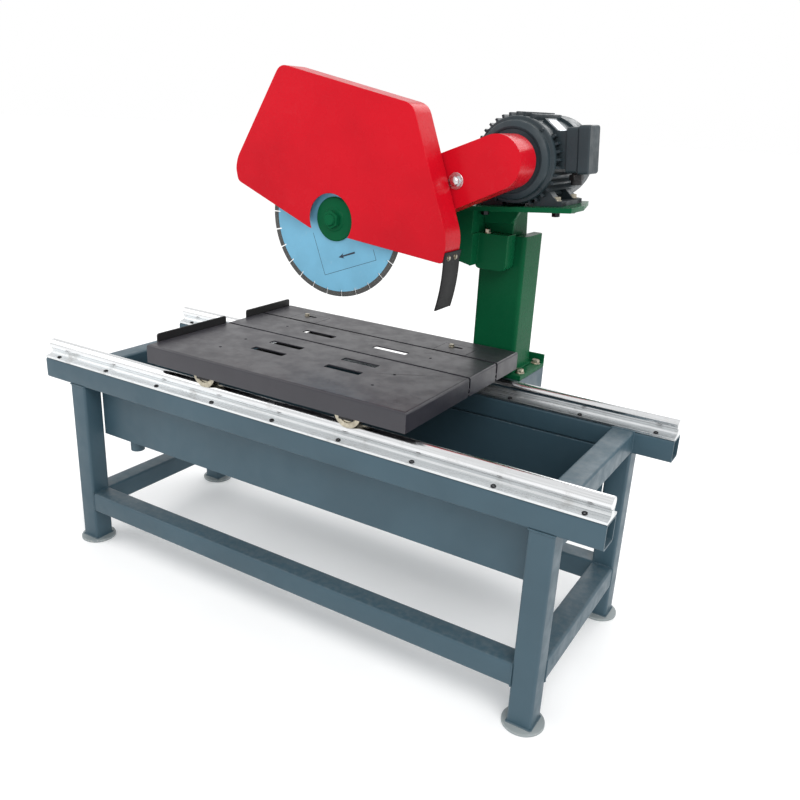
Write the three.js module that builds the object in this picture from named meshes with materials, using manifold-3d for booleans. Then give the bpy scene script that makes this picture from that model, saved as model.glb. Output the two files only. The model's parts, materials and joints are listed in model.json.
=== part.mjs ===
// Rail saw for stone and tile: a steel frame with a water tray between two round rails, a rolling table,
// and a belt-driven blade on a swinging head that stands on a column behind the table.
// Millimetres, +Z up, +X along the rails, +Y from the front rail to the column.
// Built with Y = 0 midway between the rails, then moved so that Y = 0 is the middle of the whole saw.

import * as THREE from 'three';
import { mergeVertices } from 'three/addons/utils/BufferGeometryUtils.js';
import Module from 'manifold-3d';

const wasm = await Module();
wasm.setup();

// ---------------------------------------------------------------- driving dimensions

const GAP = 0.3;                     // clearance between pieces that touch

const BEAM = 60;                     // square tube of the frame
const BEAM_WALL = 4;
const RAIL_LENGTH = 1700;
const RAIL_Y = 265;                  // half the distance between the two rails
const FRAME_TOP = 564;
const LEG_X = 720;
const STRETCHER_Z = 135;             // middle of the low stretchers
const FOOT_RADIUS = 50;
const FOOT_HEIGHT = 8;

const TRAY_BOTTOM = 343;
const TRAY_WALL = 3;
const TRAY_LIP = 25;
const DRAIN = { x: -585, y: -205, radius: 20, length: 34 };

const SHAFT_RADIUS = 15;
const SHAFT_Z = 600.5;

const TABLE = { x: -13, length: 800, width: 600, top: 689, skirt: 50, sheet: 4 };
const SLIT = { blade: 7, bevel: 164, width: 8 };
const FENCE = { thickness: 4, above: 20, below: 39 };
const ROLLER = { spacing: 448, shift: 9, groove: 27, flange: 37, width: 36, axle: 8 };

const COLUMN = { x: 306, y: 370, width: 132, depth: 122, wall: 8, bottom: 620, top: 1000 };
const BASE_PLATE = { side: 94, thickness: 14, overhang: 46, upturn: 24 };
const SUPPORT = { wall: 10, drop: 44 };
const PIVOT = { x: 304, z: 958, pin: 15, ahead: 50, behind: 12 };
const SWING = { down: 27, up: 12 };  // degrees the head swings from rest
const TONGUE = 50;                   // width of the motor plate's tongue

const BLADE = { x: -30, y: 7, z: 1030, radius: 200, thickness: 3.2, rim: 3.8, rimDepth: 13, bore: 15 };
const SPINDLE_RADIUS = 15;
const GUARD = { front: -18, rear: 59, sheet: 2.5, notch: 66 };
const FLAP = { top: 990, bend: 966, bottom: 846, thickness: 5 };
const BELT = { front: 64, rear: 154, sheet: 2.5 };
const GUARD_LOW = { x: -30, z: 1022, radius: 76 };    // the belt guard's two rounded ends
const GUARD_HIGH = { x: 378, z: 1199, radius: 64 };
const PULLEY = { front: 92, rear: 130, low: 32, high: 46, belt: 9 };

const LEAN = 4.5;                    // degrees the motor plate leans at rest
const MOTOR = { x: 361, z: 1199, height: 112, front: 190, body: 115, shaft: 14, rear: 510 };
const PLATE = { left: 150, right: 528, front: 196, rear: 448, thickness: 12, cutFrom: 286, cutBack: 484 };
const TERMINALS = { front: 236, depth: 76, low: -35, high: 79, seat: 30, lid: 30 };
const HUB_HOLE = 24;                 // the spindle's and the motor shaft's way through the belt guard

// ---------------------------------------------------------------- materials

const paint = (color, roughness = 0.45, metalness = 0.1) =>
  new THREE.MeshStandardMaterial({ color, roughness, metalness });

const FRAME_GREY = paint(0x4e6068);
const TABLE_GREY = paint(0x45434a, 0.55);
const BLACK = paint(0x141416, 0.6);
const GREEN = paint(0x0e4d2c, 0.35);
const RED = paint(0xc81426, 0.3);
const MOTOR_GREY = paint(0x39444c, 0.5);
const ALUMINIUM = paint(0xc9ccce, 0.35, 1);
const STEEL = paint(0xb9bcc0, 0.25, 1);
const BLUE = paint(0x74bfe0, 0.4, 0.2);
const DIAMOND = paint(0x4b4c4c, 0.8, 0.3);
const RUBBER = paint(0x17171a, 0.8, 0);

// ---------------------------------------------------------------- solids

function solid(geometry) {
  const plain = geometry.clone();
  plain.deleteAttribute('normal');
  plain.deleteAttribute('uv');
  const merged = mergeVertices(plain, 1e-4);
  return new wasm.Manifold(new wasm.Mesh({
    numProp: 3,
    vertProperties: new Float32Array(merged.attributes.position.array),
    triVerts: new Uint32Array(merged.index.array),
  }));
}

function toGeometry(manifold) {
  const mesh = manifold.getMesh();
  const geometry = new THREE.BufferGeometry();
  geometry.setAttribute('position', new THREE.BufferAttribute(mesh.vertProperties, 3));
  geometry.setIndex(new THREE.BufferAttribute(mesh.triVerts, 1));
  geometry.computeVertexNormals();
  return geometry;
}

const join = (...geometries) => toGeometry(geometries.map(solid).reduce((a, b) => a.add(b)));

const cut = (base, ...tools) => toGeometry(tools.map(solid).reduce((a, b) => a.subtract(b), solid(base)));

function box(x0, x1, y0, y1, z0, z1) {
  const geometry = new THREE.BoxGeometry(x1 - x0, y1 - y0, z1 - z0);
  return geometry.translate((x0 + x1) / 2, (y0 + y1) / 2, (z0 + z1) / 2);
}

const extrude = (shape, depth, segments = 6) =>
  new THREE.ExtrudeGeometry(shape, { depth, bevelEnabled: false, curveSegments: segments });

// an outline in X and Z, extruded along Y from y0 to y1
const prismY = (shape, y0, y1, segments) =>
  extrude(shape, y1 - y0, segments).rotateX(Math.PI / 2).translate(0, y1, 0);

// an outline in Y and Z, extruded along X from x0 to x1
function prismX(shape, x0, x1, segments) {
  const turn = new THREE.Matrix4().makeBasis(
    new THREE.Vector3(0, 1, 0), new THREE.Vector3(0, 0, 1), new THREE.Vector3(1, 0, 0));
  return extrude(shape, x1 - x0, segments).applyMatrix4(turn).translate(x0, 0, 0);
}

// an outline in X and Y, extruded along Z from z0 to z1
const prismZ = (shape, z0, z1, segments) => extrude(shape, z1 - z0, segments).translate(0, 0, z0);

// a closed outline through [a, b] points, each corner rounded by its optional third value
function outline(points) {
  const shape = new THREE.Shape();
  const corner = (i) => new THREE.Vector2(...points[(i + points.length) % points.length].slice(0, 2));
  const most = 0.48;                  // a rounding never takes up more than this share of a side
  const towards = (from, to, distance) =>
    from.clone().lerp(to, Math.min(distance / from.distanceTo(to), most));
  points.forEach(([, , radius = 0], i) => {
    const here = corner(i);
    if (!radius) {
      if (i) shape.lineTo(here.x, here.y);
      else shape.moveTo(here.x, here.y);
      return;
    }
    const start = towards(here, corner(i - 1), radius);
    const end = towards(here, corner(i + 1), radius);
    if (i) shape.lineTo(start.x, start.y);
    else shape.moveTo(start.x, start.y);
    shape.quadraticCurveTo(here.x, here.y, end.x, end.y);
  });
  shape.closePath();
  return shape;
}

const rectangle = (x0, x1, y0, y1, radius = 0) =>
  outline([[x0, y0, radius], [x1, y0, radius], [x1, y1, radius], [x0, y1, radius]]);

// the same outline with each edge moved inwards by its own distance (edge i runs from point i to point i + 1)
function inset(points, distances) {
  const count = points.length;
  const area = points.reduce((sum, [x, y], i) => {
    const [nextX, nextY] = points[(i + 1) % count];
    return sum + x * nextY - nextX * y;
  }, 0);
  const side = Math.sign(area);
  const edges = points.map(([x, y], i) => {
    const [nextX, nextY] = points[(i + 1) % count];
    const length = Math.hypot(nextX - x, nextY - y);
    const nx = (-side * (nextY - y)) / length;
    const ny = (side * (nextX - x)) / length;
    return { nx, ny, c: nx * x + ny * y + distances[i] };
  });
  return points.map(([, , radius = 0], i) => {
    const a = edges[(i + count - 1) % count];
    const b = edges[i];
    const det = a.nx * b.ny - a.ny * b.nx;
    return [(a.c * b.ny - b.c * a.ny) / det, (a.nx * b.c - b.nx * a.c) / det, radius];
  });
}

// a solid of revolution about a line along Y, from a profile of [radius, y] points
function turnY(profile, x, z, segments = 24) {
  const points = profile.map(([radius, y]) => new THREE.Vector2(radius, y));
  if (THREE.ShapeUtils.area(points) < 0) points.reverse();
  const geometry = new THREE.LatheGeometry(points, segments);
  const first = profile[0];
  const last = profile[profile.length - 1];
  const closesOnItself = first[0] === last[0] && first[1] === last[1];
  if (!closesOnItself && (first[0] !== 0 || last[0] !== 0)) throw new Error('open profile');
  return geometry.translate(x, 0, z);
}

const rodY = (radius, y0, y1, x, z, segments = 24) =>
  new THREE.CylinderGeometry(radius, radius, y1 - y0, segments).translate(x, (y0 + y1) / 2, z);

const ringY = (inner, outer, y0, y1, x, z, segments = 24) =>
  turnY([[inner, y0], [outer, y0], [outer, y1], [inner, y1], [inner, y0]], x, z, segments);

const rodX = (radius, x0, x1, y, z, segments = 24) =>
  new THREE.CylinderGeometry(radius, radius, x1 - x0, segments)
    .rotateZ(Math.PI / 2).translate((x0 + x1) / 2, y, z);

const rodZ = (radius, z0, z1, x, y, segments = 24) =>
  new THREE.CylinderGeometry(radius, radius, z1 - z0, segments)
    .rotateX(Math.PI / 2).translate(x, y, (z0 + z1) / 2);

// ---------------------------------------------------------------- the assembly

const saw = new THREE.Group();
const base = new THREE.Group();
const table = new THREE.Group();
const head = new THREE.Group();
saw.add(base, table, head);

function piece(group, name, geometry, material) {
  const mesh = new THREE.Mesh(geometry, material);
  mesh.name = name;
  group.add(mesh);
  return mesh;
}

const SIDES = [['left', -1], ['right', 1]];
const ROWS = [['front', -1], ['rear', 1]];

// ---------------------------------------------------------------- frame of square tube, open at its ends

function tubeAlongX(halfLength, y, z) {
  const half = BEAM / 2;
  const inner = half - BEAM_WALL;
  return cut(
    box(-halfLength, halfLength, y - half, y + half, z - half, z + half),
    box(-halfLength - 1, halfLength + 1, y - inner, y + inner, z - inner, z + inner));
}

function tubeAlongY(halfLength, x, z) {
  const half = BEAM / 2;
  const inner = half - BEAM_WALL;
  return cut(
    box(x - half, x + half, -halfLength, halfLength, z - half, z + half),
    box(x - inner, x + inner, -halfLength - 1, halfLength + 1, z - inner, z + inner));
}

function leg(x, y) {
  const half = BEAM / 2;
  const inner = half - BEAM_WALL;
  const top = FRAME_TOP - BEAM - GAP;
  const tube = box(x - half, x + half, y - half, y + half, FOOT_HEIGHT - 1, top);
  const disc = rodZ(FOOT_RADIUS, 0, FOOT_HEIGHT, x, y, 32);
  return cut(join(tube, disc), box(x - inner, x + inner, y - inner, y + inner, FOOT_HEIGHT, top + 1));
}

function buildFrame() {
  const half = BEAM / 2;
  const between = RAIL_Y - half - GAP;
  for (const [row, sideY] of ROWS) {
    const y = sideY * RAIL_Y;
    piece(base, `rail_beam_${row}`, tubeAlongX(RAIL_LENGTH / 2, y, FRAME_TOP - half), FRAME_GREY);
    piece(base, `stretcher_${row}`, tubeAlongX(LEG_X - half - GAP, y, STRETCHER_Z), FRAME_GREY);
    for (const [side, sideX] of SIDES) {
      piece(base, `leg_${row}_${side}`, leg(sideX * LEG_X, y), FRAME_GREY);
    }
  }
  for (const [side, sideX] of SIDES) {
    const x = sideX * LEG_X;
    piece(base, `cross_beam_${side}`, tubeAlongY(between, x, FRAME_TOP - half), FRAME_GREY);
    piece(base, `stretcher_${side}`, tubeAlongY(between, x, STRETCHER_Z), FRAME_GREY);
  }
}

// ---------------------------------------------------------------- water tray, with its drain spout

function buildTray() {
  const halfX = LEG_X - BEAM / 2 - GAP;
  const halfY = RAIL_Y - BEAM / 2 - GAP;
  const top = FRAME_TOP - BEAM - GAP;
  const lipBottom = top - TRAY_WALL;
  const basin = box(-halfX, halfX, -halfY, halfY, TRAY_BOTTOM, top);
  const lipAlongX = box(-halfX, halfX, -halfY - TRAY_LIP, halfY + TRAY_LIP, lipBottom, top);
  const lipAlongY = box(-halfX - TRAY_LIP, halfX + TRAY_LIP, -halfY, halfY, lipBottom, top);
  const spout = rodZ(DRAIN.radius, TRAY_BOTTOM - DRAIN.length, TRAY_BOTTOM + 1, DRAIN.x, DRAIN.y);
  const inside = box(-halfX + TRAY_WALL, halfX - TRAY_WALL, -halfY + TRAY_WALL, halfY - TRAY_WALL,
    TRAY_BOTTOM + TRAY_WALL, top + 1);
  const drain = rodZ(DRAIN.radius - TRAY_WALL, TRAY_BOTTOM - DRAIN.length - 1, TRAY_BOTTOM + 9,
    DRAIN.x, DRAIN.y);
  const shell = join(basin, lipAlongX, lipAlongY, spout);
  piece(base, 'water_tray', cut(shell, inside, drain), FRAME_GREY);
}

// ---------------------------------------------------------------- rails

function railSupportProfile(y) {
  const seat = SHAFT_RADIUS + GAP;
  const neck = 7;
  const wing = 11;                                        // half-width of the cradle under the shaft
  const floor = FRAME_TOP + GAP;
  const dip = Math.sqrt(seat * seat - wing * wing);
  const shape = new THREE.Shape();
  const right = [[30, 0], [30, 6], [18, 8], [neck + 2, 12], [neck, 17]];
  shape.moveTo(y - 30, floor);
  right.forEach(([dy, dz]) => shape.lineTo(y + dy, floor + dz));
  shape.lineTo(y + wing, SHAFT_Z - dip);
  const angle = Math.atan2(-dip, wing);
  shape.absarc(y, SHAFT_Z, seat, angle, -Math.PI - angle, true);
  right.slice(1).reverse().forEach(([dy, dz]) => shape.lineTo(y - dy, floor + dz));
  shape.closePath();
  return shape;
}

function buildRails() {
  const half = RAIL_LENGTH / 2;
  for (const [row, sideY] of ROWS) {
    const y = sideY * RAIL_Y;
    piece(base, `rail_support_${row}`, prismX(railSupportProfile(y), -half, half, 8), ALUMINIUM);
    piece(base, `rail_shaft_${row}`, rodX(SHAFT_RADIUS, -half, half, y, SHAFT_Z, 32), STEEL);
  }
}

// ---------------------------------------------------------------- column on its base plate

// how far to one side the tongue reaches, at the column's top, when the head swings by so many degrees
function tongueReach(degrees) {
  const turn = THREE.MathUtils.degToRad(degrees);
  const clearance = 5;
  return (TONGUE / 2 + clearance) / Math.cos(turn) + (COLUMN.top - PIVOT.z) * Math.tan(turn);
}

function buildColumn() {
  const { x, y, width, depth, wall, bottom, top } = COLUMN;
  const { side, thickness, overhang, upturn } = BASE_PLATE;
  const front = y - depth / 2;
  const rear = y + depth / 2;
  const beamBack = RAIL_Y + BEAM / 2 + GAP;
  const plateTop = bottom - GAP;
  const plateBottom = plateTop - thickness;
  const plateBack = rear + overhang;
  const left = x - side;
  const right = x + side;

  const { wall: web, drop } = SUPPORT;
  const channelTop = plateBottom - GAP;
  const channel = cut(
    box(left, right, beamBack, plateBack, FRAME_TOP - drop, channelTop),
    box(left + web, right - web, beamBack - 1, plateBack + 1, FRAME_TOP - drop - 1, channelTop - web));
  piece(base, 'column_support', channel, FRAME_GREY);

  const plate = box(left, right, front - 7, plateBack, plateBottom, plateTop);
  const lip = box(left, right, plateBack - 8, plateBack, plateBottom, plateTop + upturn);
  piece(base, 'column_base_plate', join(plate, lip), GREEN);

  const outer = prismZ(rectangle(x - width / 2, x + width / 2, front, rear, 12), bottom, top);
  const hollow = rectangle(x - width / 2 + wall, x + width / 2 - wall, front + wall, rear - wall, 5);
  const inner = prismZ(hollow, bottom - 1, top - wall);
  const slotLeft = PIVOT.x - tongueReach(SWING.down);
  const slotRight = PIVOT.x + tongueReach(SWING.up);
  const slot = box(slotLeft, slotRight, front - 1, rear + 1, top - wall - 1, top + 1);
  const pinHole = rodY(PIVOT.pin + GAP, y - depth, y + depth, PIVOT.x, PIVOT.z);
  piece(base, 'column', cut(outer, inner, slot, pinHole), GREEN);

  const pin = rodY(PIVOT.pin, front - PIVOT.ahead, rear + PIVOT.behind, PIVOT.x, PIVOT.z);
  piece(base, 'pivot_pin', pin, STEEL);
}

// ---------------------------------------------------------------- rolling table

const tableEnds = [TABLE.x - TABLE.length / 2, TABLE.x + TABLE.length / 2];

// a folded panel between two Y values: top sheet, end skirts, and a long skirt where it has one
function foldedPanel(y0, y1, longSkirt) {
  const { top, skirt, sheet } = TABLE;
  const [left, right] = tableEnds;
  const round = 7;
  const endProfile = rectangle(left, right, top - skirt - round, top, round);
  const innerProfile = rectangle(left + sheet, right - sheet, top - skirt - 20, top - sheet, 3);
  let panel = prismY(endProfile, y0, y1, 4);
  const trim = box(left - 1, right + 1, y0 - 1, y1 + 1, top - skirt - round - 1, top - skirt);
  if (longSkirt === 'front') {
    const nose = outline([
      [y0, top - skirt - 20], [y1 + 1, top - skirt - 20], [y1 + 1, top], [y0, top, round],
    ]);
    panel = toGeometry(solid(panel).intersect(solid(prismX(nose, left - 1, right + 1, 4))));
    return cut(panel, prismY(innerProfile, y0 + sheet, y1 + 1, 4), trim);
  }
  if (longSkirt === 'rear') {
    const tail = outline([
      [y0 - 1, top - skirt - 20], [y1, top - skirt - 20], [y1, top, round], [y0 - 1, top],
    ]);
    panel = toGeometry(solid(panel).intersect(solid(prismX(tail, left - 1, right + 1, 4))));
    return cut(panel, prismY(innerProfile, y0 - 1, y1 - sheet, 4), trim);
  }
  return cut(panel, prismY(innerProfile, y0 - 1, y1 + 1, 4), trim);
}

const through = (shape) => prismZ(shape, TABLE.top - TABLE.sheet - 5, TABLE.top + 1);

// long slots through the sheet: one at each side of the table's middle
const slotPair = (y) => [-120, 120].map((dx) =>
  through(rectangle(TABLE.x + dx - 53, TABLE.x + dx + 53, y - 12, y + 12, 4)));

const holePair = (y) => [-241, 241].map((dx) =>
  rodZ(4, TABLE.top - 20, TABLE.top + 1, TABLE.x + dx, y, 12));

const INSET = { spread: 252, length: 100, front: SLIT.bevel + SLIT.width / 2, rear: 248, depth: 2.4 };
const BOLT = { y: 224, radius: 5, head: 10, left: -28, right: 14, at: -20 };

// the hole that a slot bolt slides along, for the inset plate whose middle is at x
const boltSlot = (x) => through(rectangle(x + BOLT.left, x + BOLT.right, BOLT.y - 6, BOLT.y + 6, 5));

function buildTable() {
  const { width, top, sheet } = TABLE;
  const blade = [SLIT.blade - SLIT.width / 2, SLIT.blade + SLIT.width / 2];
  const bevel = [SLIT.bevel - SLIT.width / 2, SLIT.bevel + SLIT.width / 2];

  const front = cut(foldedPanel(-width / 2, blade[0], 'front'),
    ...slotPair(-139), ...slotPair(-64), ...holePair(-191), ...holePair(-92));
  piece(table, 'table_panel_front', front, TABLE_GREY);
  const middle = cut(foldedPanel(blade[1], bevel[0]), ...slotPair(82), ...holePair(88));
  piece(table, 'table_panel_middle', middle, TABLE_GREY);

  const recesses = [-1, 1].map((side) => {
    const x = TABLE.x + side * INSET.spread;
    const half = INSET.length / 2;
    return box(x - half, x + half, INSET.front - 1, INSET.rear, top - INSET.depth, top + 1);
  });
  const boltSlots = [-1, 1].map((side) => boltSlot(TABLE.x + side * INSET.spread));
  const rear = cut(foldedPanel(bevel[1], width / 2, 'rear'), ...recesses, ...boltSlots);
  piece(table, 'table_panel_rear', rear, TABLE_GREY);

  for (const [side, sideX] of SIDES) {
    const x = TABLE.x + sideX * INSET.spread;
    const x0 = x - INSET.length / 2 + 1;
    const x1 = x + INSET.length / 2 - 1;
    const blank = box(x0, x1, INSET.front + 1, INSET.rear - 1, top - INSET.depth + GAP, top);
    const plate = cut(blank, boltSlot(x));
    piece(table, `inset_plate_${side}`, plate, TABLE_GREY);
    const boltX = x + BOLT.at;
    const bolt = join(
      rodZ(BOLT.radius, top - sheet - 16, top + 2, boltX, BOLT.y, 16),
      rodZ(BOLT.head, top + GAP, top + 7, boltX, BOLT.y, 6),
      rodZ(BOLT.head, top - sheet - 12, top - sheet - GAP, boltX, BOLT.y, 6));
    piece(table, `slot_bolt_${side}`, bolt, STEEL);
  }
}

function buildFences() {
  const face = tableEnds[0] - GAP;
  const { thickness, above, below } = FENCE;
  const high = TABLE.top + above;
  const low = TABLE.top - below;
  const bar = (y0, y1) => prismX(outline([[y0, low], [y1, low], [y1, high, 7], [y0, high, 7]]),
    face - thickness, face, 4);
  piece(table, 'fence_front', bar(-260, 3), BLACK);
  piece(table, 'fence_rear', bar(92, 296), BLACK);
}

const rollerX = (sideX) => TABLE.x + ROLLER.shift + (sideX * ROLLER.spacing) / 2;
const rollerZ = SHAFT_Z + SHAFT_RADIUS + ROLLER.groove + 0.5;

// a cross-member under the table: a tube from fork to fork, each fork holding an axle stub for a roller
function crossMember(x) {
  const under = TABLE.top - TABLE.sheet - GAP;
  const cheek = 4;
  const halfFork = ROLLER.width / 2 + 1;
  const tubeEnd = RAIL_Y - halfFork;
  const parts = [
    box(x - 20, x + 20, -tubeEnd, tubeEnd, rollerZ - 20, rollerZ + 10),
  ];
  for (const sideY of [-1, 1]) {
    const y = sideY * RAIL_Y;
    const near = y - sideY * halfFork;
    const far = y + sideY * halfFork;
    const plateAt = (edge, direction) => {
      const other = edge + direction * cheek;
      return box(x - 20, x + 20, Math.min(edge, other), Math.max(edge, other), rollerZ - 16, under);
    };
    parts.push(plateAt(near, -sideY), plateAt(far, sideY));
    parts.push(box(x - 20, x + 20, y - halfFork - cheek, y + halfFork + cheek, under - 4, under));
    parts.push(rodY(ROLLER.axle, y - halfFork - 1, y + halfFork + 1, x, rollerZ, 20));
  }
  return join(...parts);
}

function rollerProfile(y) {
  const { width, groove, flange, axle } = ROLLER;
  const half = width / 2;
  const rim = 2.4;
  const bore = axle + 0.1;
  const profile = [[bore, y - half], [flange, y - half], [flange, y - half + rim]];
  const mouth = half - rim;
  const steps = 6;
  const sag = flange - groove;
  const arc = (mouth * mouth + sag * sag) / (2 * sag);
  for (let i = 1; i < steps; i += 1) {
    const across = -mouth + (2 * mouth * i) / steps;
    profile.push([groove + arc - Math.sqrt(arc * arc - across * across), y + across]);
  }
  profile.push([flange, y + half - rim], [flange, y + half], [bore, y + half]);
  profile.push(profile[0]);
  return profile;
}

function buildRollers() {
  for (const [side, sideX] of SIDES) {
    const x = rollerX(sideX);
    piece(table, `cross_member_${side}`, crossMember(x), BLACK);
    for (const [row, sideY] of ROWS) {
      const roller = turnY(rollerProfile(sideY * RAIL_Y), x, rollerZ, 20);
      piece(table, `roller_${row}_${side}`, roller, STEEL);
    }
  }
}

// ---------------------------------------------------------------- swinging head

const lean = THREE.MathUtils.degToRad(LEAN);
const plateAnchor = {
  x: MOTOR.x + MOTOR.height * Math.sin(lean),
  z: MOTOR.z - MOTOR.height * Math.cos(lean),
};
const plateTopAt = (x) => plateAnchor.z + (x - plateAnchor.x) * Math.tan(lean);
const plateUnderAt = (x) => plateTopAt(x) - PLATE.thickness / Math.cos(lean);

function buildMotorPlate() {
  const { left, right, front, rear, cutFrom, cutBack } = PLATE;
  const whole = prismY(outline([
    [left, plateUnderAt(left)], [right, plateUnderAt(right)],
    [right, plateTopAt(right)], [left, plateTopAt(left)],
  ]), front, rear);
  const corner = prismZ(outline([
    [right, cutFrom], [right + 10, cutFrom], [right + 10, rear + 10], [cutBack, rear + 10], [cutBack, rear],
  ]), PIVOT.z, MOTOR.z);
  const slab = cut(whole, corner);
  const columnFront = COLUMN.y - COLUMN.depth / 2;
  const columnRear = COLUMN.y + COLUMN.depth / 2;
  const topOf = (x) => plateUnderAt(x) + 2;
  const half = TONGUE / 2;
  const tongueShape = new THREE.Shape();
  tongueShape.moveTo(PIVOT.x - half, PIVOT.z);
  tongueShape.absarc(PIVOT.x, PIVOT.z, half, -Math.PI, 0, false);
  tongueShape.lineTo(PIVOT.x + half - 6, topOf(PIVOT.x + half));
  tongueShape.lineTo(PIVOT.x - half - 6, topOf(PIVOT.x - half));
  tongueShape.closePath();
  const clear = COLUMN.wall + 2;
  const tongue = prismY(tongueShape, columnFront + clear, columnRear - clear, 16);
  const bore = rodY(PIVOT.pin + GAP, columnFront, columnRear, PIVOT.x, PIVOT.z);
  const apronLeft = PIVOT.x - 45;
  const apron = prismY(outline([
    [apronLeft, plateUnderAt(apronLeft) - 38], [PIVOT.x + 34, plateUnderAt(PIVOT.x + 34) - 38],
    [PIVOT.x + 60, topOf(PIVOT.x + 60)], [apronLeft, topOf(apronLeft)],
  ]), 282, 296);
  const web = prismY(outline([
    [apronLeft, PIVOT.z + 48 + GAP], [PIVOT.x + 34, PIVOT.z + 48 + GAP],
    [PIVOT.x + 40, topOf(PIVOT.x + 40)], [apronLeft, topOf(apronLeft)],
  ]), 294, columnFront - 4);
  piece(head, 'motor_plate', cut(join(slab, tongue, apron, web), bore), GREEN);
}

function buildSwingArm() {
  const { x, z } = BLADE;
  const barrel = rodY(45, BELT.rear + 8, 300, x, z, 32);
  const right = PIVOT.x - 46;
  const beam = prismY(outline([
    [x, z - 43], [right, PIVOT.z - 36], [right, plateUnderAt(right) - GAP],
    [PLATE.left - 2, plateUnderAt(PLATE.left - 2) - GAP], [x, z + 44],
  ]), 216, 300);
  const block = prismY(outline([
    [right - 2, PIVOT.z - 47, 16], [PIVOT.x + 41, PIVOT.z - 47, 18],
    [PIVOT.x + 41, PIVOT.z + 48], [right - 2, PIVOT.z + 48],
  ]), 252, 305);
  const sideArm = box(right - 2, right + 4, 216, 300, PIVOT.z - 36, PIVOT.z + 48);
  const spindleBore = rodY(SPINDLE_RADIUS + GAP, BELT.rear, 301, x, z);
  const pinEnd = COLUMN.y - COLUMN.depth / 2 - PIVOT.ahead;
  const pinBore = rodY(PIVOT.pin + GAP, pinEnd - GAP, 310, PIVOT.x, PIVOT.z);
  piece(head, 'swing_arm', cut(join(barrel, beam, block, sideArm), spindleBore, pinBore), GREEN);
}

function buildBlade() {
  const { x, y, z, radius, thickness, rim, rimDepth, bore } = BLADE;
  const core = radius - rimDepth;
  piece(head, 'blade_core', ringY(bore, core, y - thickness / 2, y + thickness / 2, x, z, 48), BLUE);
  const band = ringY(core + GAP, radius, y - rim / 2, y + rim / 2, x, z, 48);
  piece(head, 'diamond_rim', band, DIAMOND);

  const flangeFront = y - thickness / 2 - GAP;
  const flangeRear = y + thickness / 2 + GAP;
  const running = SPINDLE_RADIUS + GAP;
  const outer = turnY([
    [running, flangeFront], [56, flangeFront], [56, flangeFront - 4], [50, flangeFront - 7],
    [24, flangeFront - 9], [running, flangeFront - 9], [running, flangeFront],
  ], x, z, 28);
  piece(head, 'blade_flange_outer', outer, GREEN);
  const inner = turnY([
    [running, flangeRear], [56, flangeRear], [56, flangeRear + 5], [30, flangeRear + 9],
    [running, flangeRear + 9], [running, flangeRear],
  ], x, z, 28);
  piece(head, 'blade_flange_inner', inner, GREEN);

  const nutFront = flangeFront - 9 - GAP;
  const hexagon = rodY(23, nutFront - 14, nutFront, x, z, 6);
  const nut = cut(hexagon, rodY(running, nutFront - 15, nutFront + 1, x, z));
  piece(head, 'arbor_nut', nut, GREEN);
  const boreFit = bore - GAP;
  const shaft = turnY([
    [0, nutFront - 20], [12, nutFront - 20], [boreFit, nutFront - 17], [boreFit, 318], [0, 318],
  ], x, z, 24);
  piece(head, 'spindle', shaft, STEEL);
}

function buildBladeGuard() {
  const { front, rear, sheet, notch } = GUARD;
  const points = [
    [-194, 1396, 22], [-339, 1161, 14], [-345, 1133, 10], [-338, 1101, 10], [-96, 1003],
    [300, 962, 10], [309, 1020, 30], [213, 1275, 26], [197, 1318, 24],
  ];
  const open = -40;
  const walls = [sheet, sheet, sheet, open, open, sheet, sheet, sheet, sheet];
  const pocketPoints = inset(points, walls).map(([x, z, radius], i) =>
    [x, z, walls[i] === open || walls[i - 1] === open ? 0 : radius - 2]);
  const shell = prismY(outline(points), front, rear, 5);
  const pocket = prismY(outline(pocketPoints), front + sheet, rear - sheet, 5);
  const spindleNotch = rodY(notch, front - 1, rear + 1, BLADE.x, BLADE.z, 40);
  const below = box(BLADE.x - notch + 6, BLADE.x + 52, front - 1, rear + 1, 940, 1002);
  piece(head, 'blade_guard', cut(shell, pocket, spindleNotch, below), RED);
}

// the rubber flap at the guard's rear end: a strip screwed to the wall, and the free length below it
function buildFlap() {
  const { top, bend, bottom, thickness } = FLAP;
  const wallAt = (z) => 300.6 + (9 * (z - 962)) / 58;
  const front = GUARD.front + 1;
  const rear = GUARD.rear - 1;
  const strip = outline([
    [wallAt(bend), bend + GAP], [wallAt(bend) + thickness, bend + GAP],
    [wallAt(top) + thickness, top], [wallAt(top), top],
  ]);
  piece(head, 'flap_strip', prismY(strip, front, rear), RUBBER);

  const x = wallAt(bend);
  const curl = -16;
  const middle = (bend + bottom) / 2;
  const shape = new THREE.Shape();
  shape.moveTo(x + thickness, bend);
  shape.quadraticCurveTo(x + thickness, middle, x + curl + thickness, bottom);
  shape.lineTo(x + curl, bottom);
  shape.quadraticCurveTo(x, middle, x, bend);
  shape.closePath();
  piece(head, 'splash_flap', prismY(shape, front, rear, 8), RUBBER);
}

// ---------------------------------------------------------------- belt drive

// the outline of a belt over two wheels, or of a guard round them, made larger by so much
function beltShape(low, high, more = 0) {
  const [dx, dz] = [high.x - low.x, high.z - low.z];
  const angle = Math.atan2(dz, dx);
  const open = Math.acos((low.radius - high.radius) / Math.hypot(dx, dz));
  const shape = new THREE.Shape();
  shape.absarc(high.x, high.z, high.radius + more, angle - open, angle + open, false);
  shape.absarc(low.x, low.z, low.radius + more, angle + open, angle - open + 2 * Math.PI, false);
  shape.closePath();
  return shape;
}

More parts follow.
